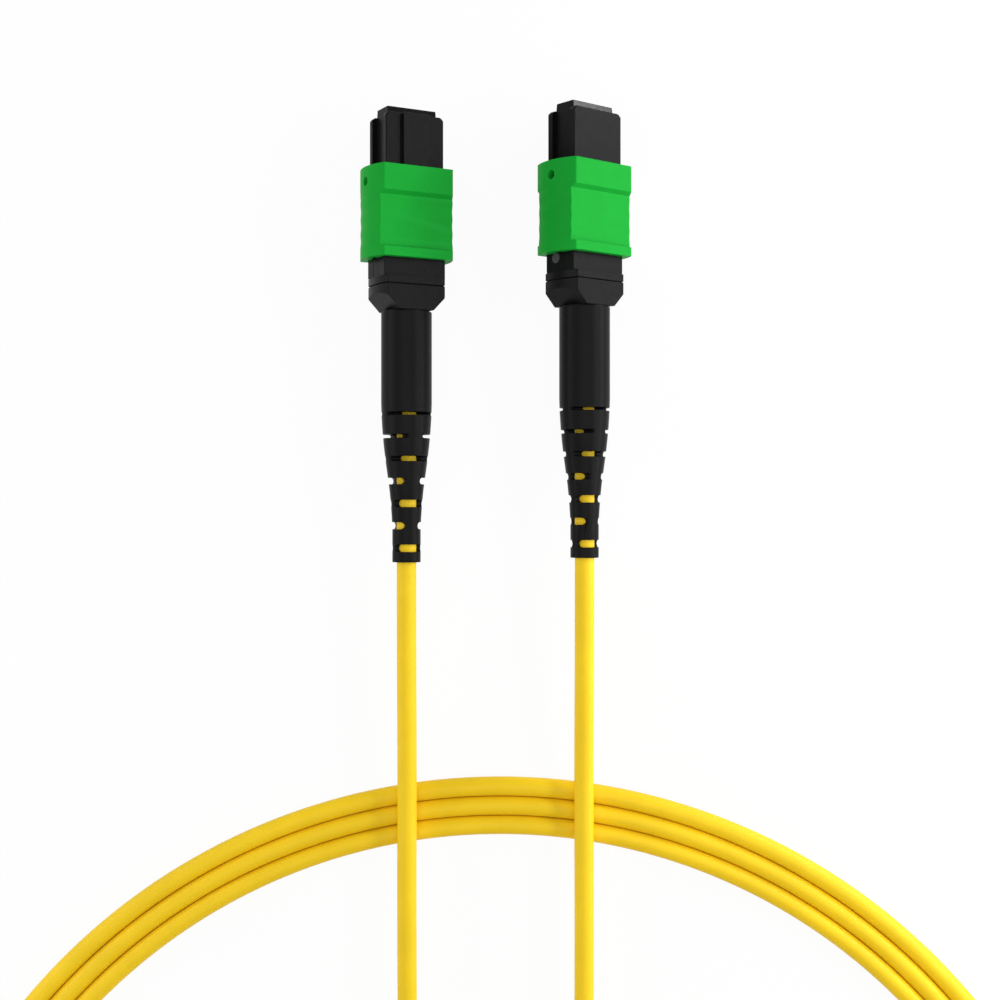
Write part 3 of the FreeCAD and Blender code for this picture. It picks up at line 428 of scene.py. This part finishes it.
def lofted(form, rings):
    """Add a solid whose skin runs through rings with the same number of points each."""
    loops = [[form.verts.new(spot) for spot in ring] for ring in rings]
    count = len(loops[0])
    for near, far in zip(loops, loops[1:]):
        for i in range(count):
            form.faces.new((near[i], near[(i + 1) % count], far[(i + 1) % count], far[i]))
    form.faces.new(loops[0][::-1])
    form.faces.new(loops[-1])
    bmesh.ops.recalc_face_normals(form, faces=form.faces)


def run(form, section, start, end):
    """A section, points (x, z), run from one station to another."""
    lofted(form, [[(x, station, z) for x, z in section] for station in (start, end)])


def across(form, section, start, end):
    """A section, points (station, z), run across the plug from one x to another."""
    lofted(form, [[(x, station, z) for station, z in section] for x in (start, end)])


def upright(form, section, start, end):
    """A section, points (x, station), run from one z to another."""
    lofted(form, [[(x, station, z) for x, station in section] for z in (start, end)])


def circle(radius, steps, x=0.0, z=0.0):
    """Points round a circle, anticlockwise from its right-hand side."""
    turns = [2 * math.pi * i / steps for i in range(steps)]
    return [(x + radius * math.cos(turn), z + radius * math.sin(turn)) for turn in turns]


def turned(form, profile):
    """A solid of revolution about the plug's axis, from a profile of (station, radius)."""
    lofted(form, [[(x, station, z) for x, z in circle(radius, 72)] for station, radius in profile])


def bowed(start, end, radius, steps):
    """Points on an arc that bulges to the right of the way from start to end, without its end."""
    start, end = Vector(start), Vector(end)
    way = end - start
    out = Vector((way.y, -way.x)).normalized()
    depth = math.sqrt(radius**2 - (way.length / 2) ** 2)
    centre = (start + end) / 2 - out * depth
    first = math.atan2(start.y - centre.y, start.x - centre.x)
    half = math.asin(way.length / 2 / radius)
    turns = [first + 2 * half * i / steps for i in range(steps)]
    return [(centre.x + radius * math.cos(a), centre.y + radius * math.sin(a)) for a in turns]


def bulged(flat, half_height, corner, edge, shoulder, side_radius):
    """The section of the sleeve and the collar: flat broad faces and convex narrow sides."""
    right = bowed((flat, -half_height), (edge, -shoulder), corner, 4)
    right += bowed((edge, -shoulder), (edge, shoulder), side_radius, 16)
    right += bowed((edge, shoulder), (flat, half_height), corner, 4) + [(flat, half_height)]
    return right + [(-x, -z) for x, z in right]


def rounded(half_width, half_height, corner):
    """A rectangle with rounded corners."""
    x, z = half_width - corner, half_height - corner
    right = bowed((x, -half_height), (half_width, -z), corner, 4) + [(half_width, -z)]
    right += bowed((half_width, z), (x, half_height), corner, 4) + [(x, half_height)]
    return right + [(-x, -z) for x, z in right]


def smoothed(form):
    """Shade every face of a form smooth."""
    for face in form.faces:
        face.smooth = True


def finished(form, name):
    """The new mesh of a form, which is used up."""
    mesh = bpy.data.meshes.new(name)
    form.to_mesh(mesh)
    form.free()
    return mesh


def carved(base, steps):
    """What is left of a solid after each step, a Boolean operation and the solids that it uses."""
    solids = []
    for form in [base] + [form for _, form in steps]:
        solids.append(bpy.data.objects.new("rough", finished(form, "rough")))
        bpy.context.scene.collection.objects.link(solids[-1])
    for (operation, _), tool in zip(steps, solids[1:]):
        step = solids[0].modifiers.new("step", "BOOLEAN")
        step.operation = operation
        step.solver = "EXACT"
        step.object = tool
    graph = bpy.context.evaluated_depsgraph_get()
    mesh = bpy.data.meshes.new_from_object(solids[0].evaluated_get(graph))
    for solid in solids:
        bpy.data.objects.remove(solid)
    return mesh


def placed(mesh, end):
    """Move a plug's mesh from its own millimetres to the frame; its axes are a left-handed set."""
    mesh.transform(AXES[end] @ Matrix.Scale(MM, 4))
    mesh.flip_normals()
    return mesh


# ------------------------------------------------------------------ edges, and handing a piece over

EDGE_TURN = 32  # degrees between two faces that meet in an edge, and not along a curve


def cleaned(mesh):
    """A mesh opened for editing, with its doubled points joined and its flat faces made whole."""
    form = bmesh.new()
    form.from_mesh(mesh)
    bmesh.ops.remove_doubles(form, verts=form.verts, dist=0.001 * MM)
    bmesh.ops.dissolve_limit(
        form, angle_limit=math.radians(0.5), verts=form.verts, edges=form.edges, delimit={"NORMAL"}
    )
    return form


def turning(form, angle):
    """The edges at which the surface turns by more than an angle, in degrees."""
    return [e for e in form.edges if e.is_manifold and e.calc_face_angle() > math.radians(angle)]


def round_off(form, edges, radius, steps):
    """Replace edges by a rounding of a radius in metres."""
    bmesh.ops.bevel(
        form,
        geom=edges,
        offset=radius,
        offset_type="OFFSET",
        segments=steps,
        profile=0.5,
        affect="EDGES",
        clamp_overlap=False,
        miter_outer="ARC",
        loop_slide=True,
    )


def eased(mesh, radius):
    """Round every edge of a mesh to the mould's radius, in metres."""
    form = cleaned(mesh)
    round_off(form, turning(form, EDGE_TURN), radius, 2)
    bmesh.ops.remove_doubles(form, verts=form.verts, dist=0.0005 * MM)
    smoothed(form)
    form.to_mesh(mesh)
    form.free()
    mesh.set_sharp_from_angle(angle=math.radians(40))
    return mesh


def add_piece(name, mesh, material, body, slot, *nodes, flats=True):
    """Put a finished mesh in the scene, on its body, in place of the CAD nodes that it stands for."""
    mesh.name = name
    mesh.materials.clear()
    mesh.materials.append(material)
    piece = bpy.data.objects.new(name, mesh)
    bpy.context.scene.collection.objects.link(piece)
    if flats:
        weighted = piece.modifiers.new("flats", "WEIGHTED_NORMAL")
        weighted.keep_sharp = True
        weighted.weight = 80
    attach(piece, body)
    if nodes:
        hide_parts(*nodes)
    return piece


# ------------------------------------------------------------------ the coupling sleeve

SLEEVE_FRONT, SLEEVE_BACK = 8.85, 22.7
SLEEVE_TOP = 4.4
SIDE_SHOULDER = 4.24
SLEEVE_SECTION = bulged(5.59, SLEEVE_TOP, 0.3, 5.86, SIDE_SHOULDER, 9.0)
SLEEVE_BORE = rounded(5.2, 3.2, 0.2)
SLEEVE_EDGE = 0.035 * MM
RIPPLE_MIDDLE, RIPPLE_PITCH, RIPPLES = 12.9, 2.31, 4
RIPPLE_DEPTH = 0.1
WAIST_DEPTH = 0.07
RIPPLE_STEPS = 14
SINK_FADE = 0.8  # how far in from the shoulders the sides reach their full dip
# the recess in each broad side, points (station, z)
GRIP_RECESS = [
    (12.8, SLEEVE_TOP + CLEAR),
    (12.8, SLEEVE_TOP),
    (13.35, 3.65),
    (21.3, 3.65),
    (21.3, SLEEVE_TOP + CLEAR),
]
LEDGE_FRONT, LEDGE_BACK = 9.9, 10.9
LEDGE = (4.25, 5.6, 0.8)  # on the right: x from, x to, and half its height
SPRING_GROOVE = (4.7, 5.8, 0.95)
PIN_HOLE_STATION, PIN_HOLE_RADIUS = 11.1, 0.7
PIN_HOLE_INNER, PIN_HOLE_OUTER = 4.7, 8.0


def side_dip(station):
    """How far the bulged sides are sunk there: a slight waist, with a finger groove at each ripple."""
    front = RIPPLE_MIDDLE - RIPPLE_PITCH / 2
    length = RIPPLE_PITCH * RIPPLES
    share = (station - front) / length
    if not 0 < share < 1:
        return 0.0
    ripple = (1 - math.cos(2 * math.pi * share * RIPPLES)) / 2
    return RIPPLE_DEPTH * ripple + WAIST_DEPTH * math.sin(math.pi * share)


def sleeve_ring(station):
    """The sleeve's section at a station, its sides sunk but its corners left where they are."""
    ring = []
    for x, z in SLEEVE_SECTION:
        share = min(max((SIDE_SHOULDER - abs(z)) / SINK_FADE, 0), 1)
        ring.append((x - math.copysign(side_dip(station) * share, x), station, z))
    return ring


def on_side(shape, side):
    """The section of a block beside the barrel, on the right (1) or mirrored to the left (-1)."""
    inner, outer, half_height = shape
    near, far = side * inner, side * outer
    return [(near, -half_height), (far, -half_height), (far, half_height), (near, half_height)]


def coupling_sleeve(end):
    """The push-pull sleeve: rippled shell, waisted grip, spring ledges, spring grooves and pin holes."""
    front = RIPPLE_MIDDLE - RIPPLE_PITCH / 2
    step = RIPPLE_PITCH / RIPPLE_STEPS
    stations = [front + step * i for i in range(RIPPLE_STEPS * RIPPLES + 1)]
    shell = bmesh.new()
    lofted(shell, [sleeve_ring(s) for s in [SLEEVE_FRONT] + stations + [SLEEVE_BACK]])
    bore = bmesh.new()
    run(bore, SLEEVE_BORE, SLEEVE_FRONT - 1, SLEEVE_BACK + 1)
    grip = bmesh.new()
    for side in (-1, 1):
        across(grip, [(station, side * z) for station, z in GRIP_RECESS], -FAR, FAR)
    grooves, holes, ledges = bmesh.new(), bmesh.new(), bmesh.new()
    for side in (-1, 1):
        run(grooves, on_side(SPRING_GROOVE, side), LEDGE_BACK, SLEEVE_BACK + 1)
        hole = circle(PIN_HOLE_RADIUS, 32, PIN_HOLE_STATION)
        across(holes, hole, side * PIN_HOLE_INNER, side * PIN_HOLE_OUTER)
        run(ledges, on_side(LEDGE, side), LEDGE_FRONT, LEDGE_BACK)
    cuts = [("DIFFERENCE", form) for form in (bore, grip, grooves, holes)]
    mesh = placed(carved(shell, cuts + [("UNION", ledges)]), end)
    add_piece(
        f"green_sleeve_{end}",
        eased(mesh, SLEEVE_EDGE),
        green,
        f"sleeve_{end}",
        "green_moulding",
        f"coupling_sleeve_{end}",
    )


# ------------------------------------------------------------------ the strain relief

COLLAR_START, COLLAR_END = 26.6, 30.5
COLLAR_SECTION = bulged(4.67, 3.68, 0.15, 4.82, 3.53, 14.0)
SEAM_SECTION = bulged(4.49, 3.5, 0.15, 4.64, 3.35, 14.0)
SEAM_LENGTH = 0.22
# what the slope on each of the collar's narrow sides cuts off, points (x, station)
COLLAR_SLOPE = [(2.9, COLLAR_END + 0.01), (2.9, COLLAR_END), (7.7, 25.5), (7.7, COLLAR_END + 0.01)]
BOOT_EDGE = 0.05 * MM
# the tube, points (station, radius), with a narrow groove where it leaves the collar
BOOT_PROFILE = [
    (30.48, 3.6),
    (30.64, 3.6),
    (30.66, 3.9),
    (44.6, 3.9),
    (46.6, 3.84),
    (49.0, 3.69),
    (51.3, 3.48),
    (53.5, 3.22),
    (55.7, 2.92),
    (57.8, 2.63),
    (60.1, 2.4),
    (62.4, 2.25),
    (64.0, 2.18),
    (69.05, 2.18),
]
BOOT_BORE = [(COLLAR_START - 1, 2.85), (41.6, 2.85), (41.6, 1.55), (70.0, 1.55)]
SLOT_MIDDLE, SLOT_PITCH = 46.3, 3.43
SLOT_OPEN = 4 + CLEAR  # outside the tube
# each row's width along the plug, and how far its rounded floor lies from the axis
SLOTS = [(0.5, 0.9), (0.58, 1.13), (0.8, 0.8), (1.0, 1.04), (1.12, 0.48), (1.1, 0.95), (1.15, 0.48)]


def slot_outline(middle, width, floor, side):
    """A slot's own section, points (station, out), with a half-round floor."""
    half = width / 2
    turns = [math.pi * i / 8 for i in range(9)]
    bend = [(middle - half * math.cos(t), floor + half * (1 - math.sin(t))) for t in turns]
    points = [(middle - half, SLOT_OPEN)] + bend + [(middle + half, SLOT_OPEN)]
    return [(station, side * out) for station, out in points]


def strain_relief(end):
    """The boot: a collar with sloping sides and a tapering tube, slotted from alternate sides."""
    collar = bmesh.new()
    sections = [
        (COLLAR_START, SEAM_SECTION),
        (COLLAR_START + SEAM_LENGTH, COLLAR_SECTION),
        (COLLAR_END, COLLAR_SECTION),
    ]
    lofted(collar, [[(x, station, z) for x, z in section] for station, section in sections])
    slopes = bmesh.new()
    for side in (-1, 1):
        upright(slopes, [(side * x, station) for x, station in COLLAR_SLOPE], -FAR, FAR)
    tube, bore, slots = bmesh.new(), bmesh.new(), bmesh.new()
    turned(tube, BOOT_PROFILE)
    turned(bore, BOOT_BORE)
    for row, (width, floor) in enumerate(SLOTS):
        for side in (-1, 1):
            outline = slot_outline(SLOT_MIDDLE + row * SLOT_PITCH, width, floor, side)
            if row % 2:
                upright(slots, [(out, station) for station, out in outline], -FAR, FAR)
            else:
                across(slots, outline, -FAR, FAR)
    steps = [("DIFFERENCE", slopes), ("UNION", tube), ("DIFFERENCE", bore), ("DIFFERENCE", slots)]
    mesh = placed(carved(collar, steps), end)
    add_piece(
        f"flex_boot_{end}",
        eased(mesh, BOOT_EDGE),
        rubber,
        "root",
        "boot_rubber",
        f"strain_relief_{end}",
    )


# ------------------------------------------------------------------ springs

COIL_STEPS = 28
WIRE_SIDES = 10
CLOSED_PITCH = 2.1  # of a closed turn, in radii of the wire
# each spring's front and rear ends, the coil's middle radius, the wire's radius and the open turns
COUPLING_SPRING = (10.97, 21.83, 0.58, 0.125, 8)
MAIN_SPRING = (10.27, 18.93, 1.98, 0.21, 6)
COUPLING_SPRING_OUT = 4.95


def coiled_wire(x_middle, start, end, mean_radius, wire_radius, turns):
    """A round-wire compression spring with a closed turn at each end."""
    closed = CLOSED_PITCH * wire_radius
    active = (end - start - 2 * wire_radius - 2 * closed) / turns
    station = start + wire_radius
    rings = []
    for number in range((turns + 2) * COIL_STEPS + 1):
        angle = 2 * math.pi * number / COIL_STEPS
        out = Vector((math.cos(angle), 0, math.sin(angle)))
        middle = Vector((x_middle, station, 0)) + out * mean_radius
        along = Vector((0, 1, 0))
        ring = [middle + (out * x + along * z) for x, z in circle(wire_radius, WIRE_SIDES)]
        rings.append(ring)
        station += (active if COIL_STEPS <= number < (turns + 1) * COIL_STEPS else closed) / COIL_STEPS
    form = bmesh.new()
    lofted(form, rings)
    smoothed(form)
    return finished(form, "spring")


def spring(end, name, x_middle, shape):
    """A spring coiled in its place in a plug, in place of its CAD node."""
    mesh = placed(coiled_wire(x_middle, *shape), end)
    piece = add_piece(
        f"{name}_coil_{end}", mesh, spring_steel, "root", "spring_steel", f"{name}_{end}", flats=False
    )
    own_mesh(piece)


# ------------------------------------------------------------------ the mark on the snap arm

MARK_STATION, MARK_HEIGHT = 23.35, 0.9
# points (x, radius), out from inside the arm and in again over the dished face
MARK_PROFILE = [(4.9, 0.84), (5.14, 0.84), (5.17, 0.78), (5.15, 0.62), (5.15, 0.05)]


def arm_mark(end):
    """The round, slightly dished gate mark on the outside of the right-hand snap arm; its grey, lighter
    than the black round it, is a painted highlight of the light that the dish catches.
    """
    form = bmesh.new()
    rings = []
    for x, radius in MARK_PROFILE:
        ring = circle(radius, 32, MARK_STATION, MARK_HEIGHT)
        rings.append([(x, station, z) for station, z in ring])
    lofted(form, rings)
    smoothed(form)
    mesh = placed(finished(form, "mark"), end)
    add_piece(f"mark_painted_highlight_{end}", mesh, mark_painted_highlight, "root", "black_moulding")


# ------------------------------------------------------------------ fibres

FIBRES = 12
FIBRE_PITCH = 0.25
FIBRE_RADIUS = 0.061
FIBRE_SIDES = 12
# the ferrule's face: its station at the middle, how it leans, and where the bare fibres end
FACE_STATION, FACE_LEAN, FIBRE_BACK = -0.3, 0.14, 2.75


def fibre_place(number):
    """How far across the plug a fibre lies, counted from the left."""
    return FIBRE_PITCH * (number - (FIBRES - 1) / 2)


def fibre_ends(end):
    """Twelve polished fibres in their holes, cut back to the ferrule's eight degree face."""
    form = bmesh.new()
    for number in range(FIBRES):
        section = circle(FIBRE_RADIUS, FIBRE_SIDES, fibre_place(number))
        face = [(x, FACE_STATION + FACE_LEAN * z, z) for x, z in section]
        lofted(form, [face, [(x, FIBRE_BACK, z) for x, z in section]])
    mesh = placed(finished(form, "fibres"), end)
    body = f"ferrule_set_{end}"
    add_piece(f"fibre_ends_{end}", mesh, glass, body, "fibre_coating", flats=False)


RIBBON_COLOURS = [
    (0.02, 0.13, 0.55),
    (0.8, 0.2, 0.02),
    (0.03, 0.35, 0.08),
    (0.16, 0.06, 0.02),
    (0.25, 0.26, 0.28),
    (0.8, 0.8, 0.78),
    (0.6, 0.02, 0.02),
    (0.02, 0.02, 0.022),
    (0.8, 0.6, 0.03),
    (0.2, 0.05, 0.35),
    (0.75, 0.3, 0.35),
    (0.1, 0.55, 0.55),
]


def ribbon_look():
    """Twelve coatings side by side, each its own colour, read from the ribbon's own attribute."""
    look = Shader("coated_fibres", roughness=0.35, specular=0.4)
    number = look.node("ShaderNodeAttribute", attribute_name="fibre").outputs["Fac"]
    ramp = look.node("ShaderNodeValToRGB")
    ramp.color_ramp.interpolation = "CONSTANT"
    stops = ramp.color_ramp.elements
    while len(stops) < len(RIBBON_COLOURS):
        stops.new(len(stops) / len(RIBBON_COLOURS))
    for i, colour in enumerate(RIBBON_COLOURS):
        stops[i].position = i / len(RIBBON_COLOURS)
        stops[i].color = (*colour, 1)
    look.link(number, ramp.inputs["Fac"])
    tone = look.spread(look.noise(0.4 * MM), 0, 0.25)
    look.colour(look.mix(tone, ramp.outputs["Color"], (0.9, 0.9, 0.88)))
    look.bumps((look.noise(0.05 * MM), 0.001 * MM))
    return look.material


fibre_coatings = ribbon_look()

RIBBON_START, FLAT_END, BUNDLE_START, BUNDLE_END = 3.62, 27.0, 33.8, 69.0
COATING_RADIUS = 0.124
# three fibres inside nine, taken from left to right like the ribbon's
BUNDLE = sorted(circle(0.16, 3) + circle(0.5, 9, 0.01))


def fibre_ribbon(end):
    """Twelve coated fibres: side by side in the plug, then gathered to a bundle in the cable."""
    form = bmesh.new()
    for number, spot in enumerate(BUNDLE):
        flat = circle(COATING_RADIUS, FIBRE_SIDES, fibre_place(number))
        bundled = circle(COATING_RADIUS, FIBRE_SIDES, *spot)
        path = [(RIBBON_START, flat), (FLAT_END, flat), (BUNDLE_START, bundled), (BUNDLE_END, bundled)]
        lofted(form, [[(x, station, z) for x, z in section] for station, section in path])
    for face in form.faces:
        face.smooth = len(face.verts) == 4
    mesh = finished(form, "ribbon")
    fibre = mesh.attributes.new("fibre", "FLOAT", "FACE")
    faces_each = len(mesh.polygons) // FIBRES
    for face in mesh.polygons:
        fibre.data[face.index].value = (face.index // faces_each + 0.5) / FIBRES
    add_piece(
        f"coated_fibres_{end}",
        placed(mesh, end),
        fibre_coatings,
        "root",
        "fibre_coating",
        f"fibre_ribbon_{end}",
        flats=False,
    )


# ------------------------------------------------------------------ the plugs' pieces

# the stations and least height of the nose's front edges, and the least height of its lip
SHOULDER_FRONT, SHOULDER_BACK = 0.7, 1.5
BROAD_FACE = 2.95
LIP_FACE = 1.8
NOSE_ROUND = 0.22 * MM
NOSE_EDGE = 0.05 * MM
TAIL_EDGE = 0.02 * MM
FERRULE_EDGE = 0.03 * MM


def nose(end):
    """The inner housing, its front shoulder and key rounded and its lip polished."""
    here = AXES[end].inverted()
    mesh = frame["nodes"][f"housing_{end}"].data.copy()
    form = cleaned(mesh)
    front = []
    for edge in turning(form, 60):
        spots = [(here @ corner.co) / MM for corner in edge.verts]
        if all(SHOULDER_FRONT < spot.y < SHOULDER_BACK and abs(spot.z) > BROAD_FACE for spot in spots):
            front.append(edge)
    round_off(form, front, NOSE_ROUND, 3)
    form.to_mesh(mesh)
    form.free()
    eased(mesh, NOSE_EDGE)
    add_piece(f"nose_{end}", mesh, black, "root", "black_moulding", f"housing_{end}")
    mesh.materials.append(lip_black)
    for face in mesh.polygons:
        middle = (here @ face.center) / MM
        if middle.y < SHOULDER_FRONT and abs(middle.z) > LIP_FACE:
            face.material_index = 1


def cad_moulding(end, node, name, body, slot, material, radius):
    """A CAD shape with its edges rounded."""
    mesh = eased(frame["nodes"][f"{node}_{end}"].data.copy(), radius)
    add_piece(f"{name}_{end}", mesh, material, body, slot, f"{node}_{end}")


for end in ENDS:
    nose(end)
    cad_moulding(end, "rear_body", "tail_body", "root", "black_moulding", black, TAIL_EDGE)
    ferrule_set = f"ferrule_set_{end}"
    cad_moulding(
        end, "ferrule", "ferrule_block", ferrule_set, "ferrule_polymer", ferrule_black, FERRULE_EDGE
    )
    coupling_sleeve(end)
    strain_relief(end)
    for side, x in (("left", -COUPLING_SPRING_OUT), ("right", COUPLING_SPRING_OUT)):
        spring(end, f"coupling_spring_{side}", x, COUPLING_SPRING)
    spring(end, "main_spring", 0.0, MAIN_SPRING)
    arm_mark(end)
    fibre_ends(end)
    fibre_ribbon(end)

# ------------------------------------------------------------------ carried-over nodes


def finish_node(node, material):
    """Give a CAD node that stays as it is its final look."""
    mesh = frame["nodes"][node].data
    mesh.materials.clear()
    mesh.materials.append(material)


for end in ENDS:
    finish_node(f"ferrule_boot_{end}", boot_black)
    finish_node(f"pin_keeper_{end}", keeper_steel)
    finish_node(f"crimp_ring_{end}", crimp_metal)
    finish_node(f"aramid_yarn_{end}", yarn)
    finish_node(f"cable_end_{end}", jacket)

# ------------------------------------------------------------------ floor and light

FLOOR_HALF = 3.0
FLOOR_GAP = 0.02 * MM
FLOOR_WHITE = 0.94  # of what is seen of the floor; the rest is paper, which takes the shadow
SKY_LIGHT = 0.35  # on the object, where the sky that is seen is 1
# each lamp's name, its place, the spot that it is aimed at, its two sides and its watts
LAMPS = [
    ("overhead", (0, -0.08, 1.1), (0, -0.05, 0), 1.0, 1.0, 4.2),
    ("right_low", (0.17, -0.01, 0.032), (0, -0.02, 0.012), 0.28, 0.03, 0.2),
    ("right_high", (0.17, 0.0, 0.13), (0, -0.02, 0.012), 0.28, 0.04, 0.2),
    ("front_spot", (0.3, 0.17, 0.032), (0.0137, 0.035, 0.01), 0.06, 0.05, 0.2),
    ("left_softbox", (-0.2, -0.03, 0.07), (0, -0.03, 0.01), 0.3, 0.08, 0.18),
]


def shown(tree):
    """1 for rays from the camera and for what they see by reflection or through glass, else 0."""
    path = tree.nodes.new("ShaderNodeLightPath")
    value = path.outputs["Is Camera Ray"]
    for kind in ("Is Glossy Ray", "Is Transmission Ray"):
        either = tree.nodes.new("ShaderNodeMath")
        either.operation = "MAXIMUM"
        tree.links.new(value, either.inputs[0])
        tree.links.new(path.outputs[kind], either.inputs[1])
        value = either.outputs[0]
    return value


def make_floor():
    """Pale paper that shows the object's shadow and is otherwise white to the eye."""
    mesh = bpy.data.meshes.new("floor")
    corners = [(x * FLOOR_HALF, y * FLOOR_HALF, 0) for x, y in ((-1, -1), (1, -1), (1, 1), (-1, 1))]
    mesh.from_pydata(corners, [], [(0, 1, 2, 3)])
    floor = bpy.data.objects.new("floor", mesh)
    floor.location.z = cad_box[0].z - FLOOR_GAP
    bpy.context.scene.collection.objects.link(floor)
    material = bpy.data.materials.new("white_floor")
    material.use_nodes = True
    tree = material.node_tree
    paper = tree.nodes["Principled BSDF"]
    paper.inputs["Base Color"].default_value = (0.9, 0.9, 0.9, 1)
    paper.inputs["Roughness"].default_value = 0.9
    paper.inputs["Specular IOR Level"].default_value = 0.1
    glow = tree.nodes.new("ShaderNodeEmission")
    blend = tree.nodes.new("ShaderNodeMixShader")
    share = tree.nodes.new("ShaderNodeMath")
    share.operation = "MULTIPLY"
    share.inputs[1].default_value = FLOOR_WHITE
    tree.links.new(shown(tree), share.inputs[0])
    tree.links.new(share.outputs[0], blend.inputs["Fac"])
    tree.links.new(paper.outputs[0], blend.inputs[1])
    tree.links.new(glow.outputs[0], blend.inputs[2])
    tree.links.new(blend.outputs[0], tree.nodes["Material Output"].inputs["Surface"])
    mesh.materials.append(material)


def area_light(name, place, target, width, height, power):
    """A soft rectangular lamp that the camera doesn't see."""
    data = bpy.data.lights.new(name, "AREA")
    data.shape = "RECTANGLE"
    data.size, data.size_y = width, height
    data.energy = power
    lamp = bpy.data.objects.new(name, data)
    lamp.location = place
    lamp.rotation_euler = (Vector(target) - Vector(place)).to_track_quat("-Z", "Y").to_euler()
    lamp.visible_camera = False
    bpy.context.scene.collection.objects.link(lamp)


def make_world():
    """A plain soft sky that is white to the eye and to anything that reflects it."""
    world = bpy.data.worlds.new("studio")
    bpy.context.scene.world = world
    world.use_nodes = True
    tree = world.node_tree
    sky = tree.nodes["Background"]
    sky.inputs["Color"].default_value = (1, 1, 1, 1)
    level = tree.nodes.new("ShaderNodeMapRange")
    level.inputs["To Min"].default_value = SKY_LIGHT
    level.inputs["To Max"].default_value = 1.0
    tree.links.new(shown(tree), level.inputs["Value"])
    tree.links.new(level.outputs["Result"], sky.inputs["Strength"])


make_floor()
for lamp in LAMPS:
    area_light(*lamp)
make_world()

bpy.context.scene.view_settings.view_transform = "Standard"
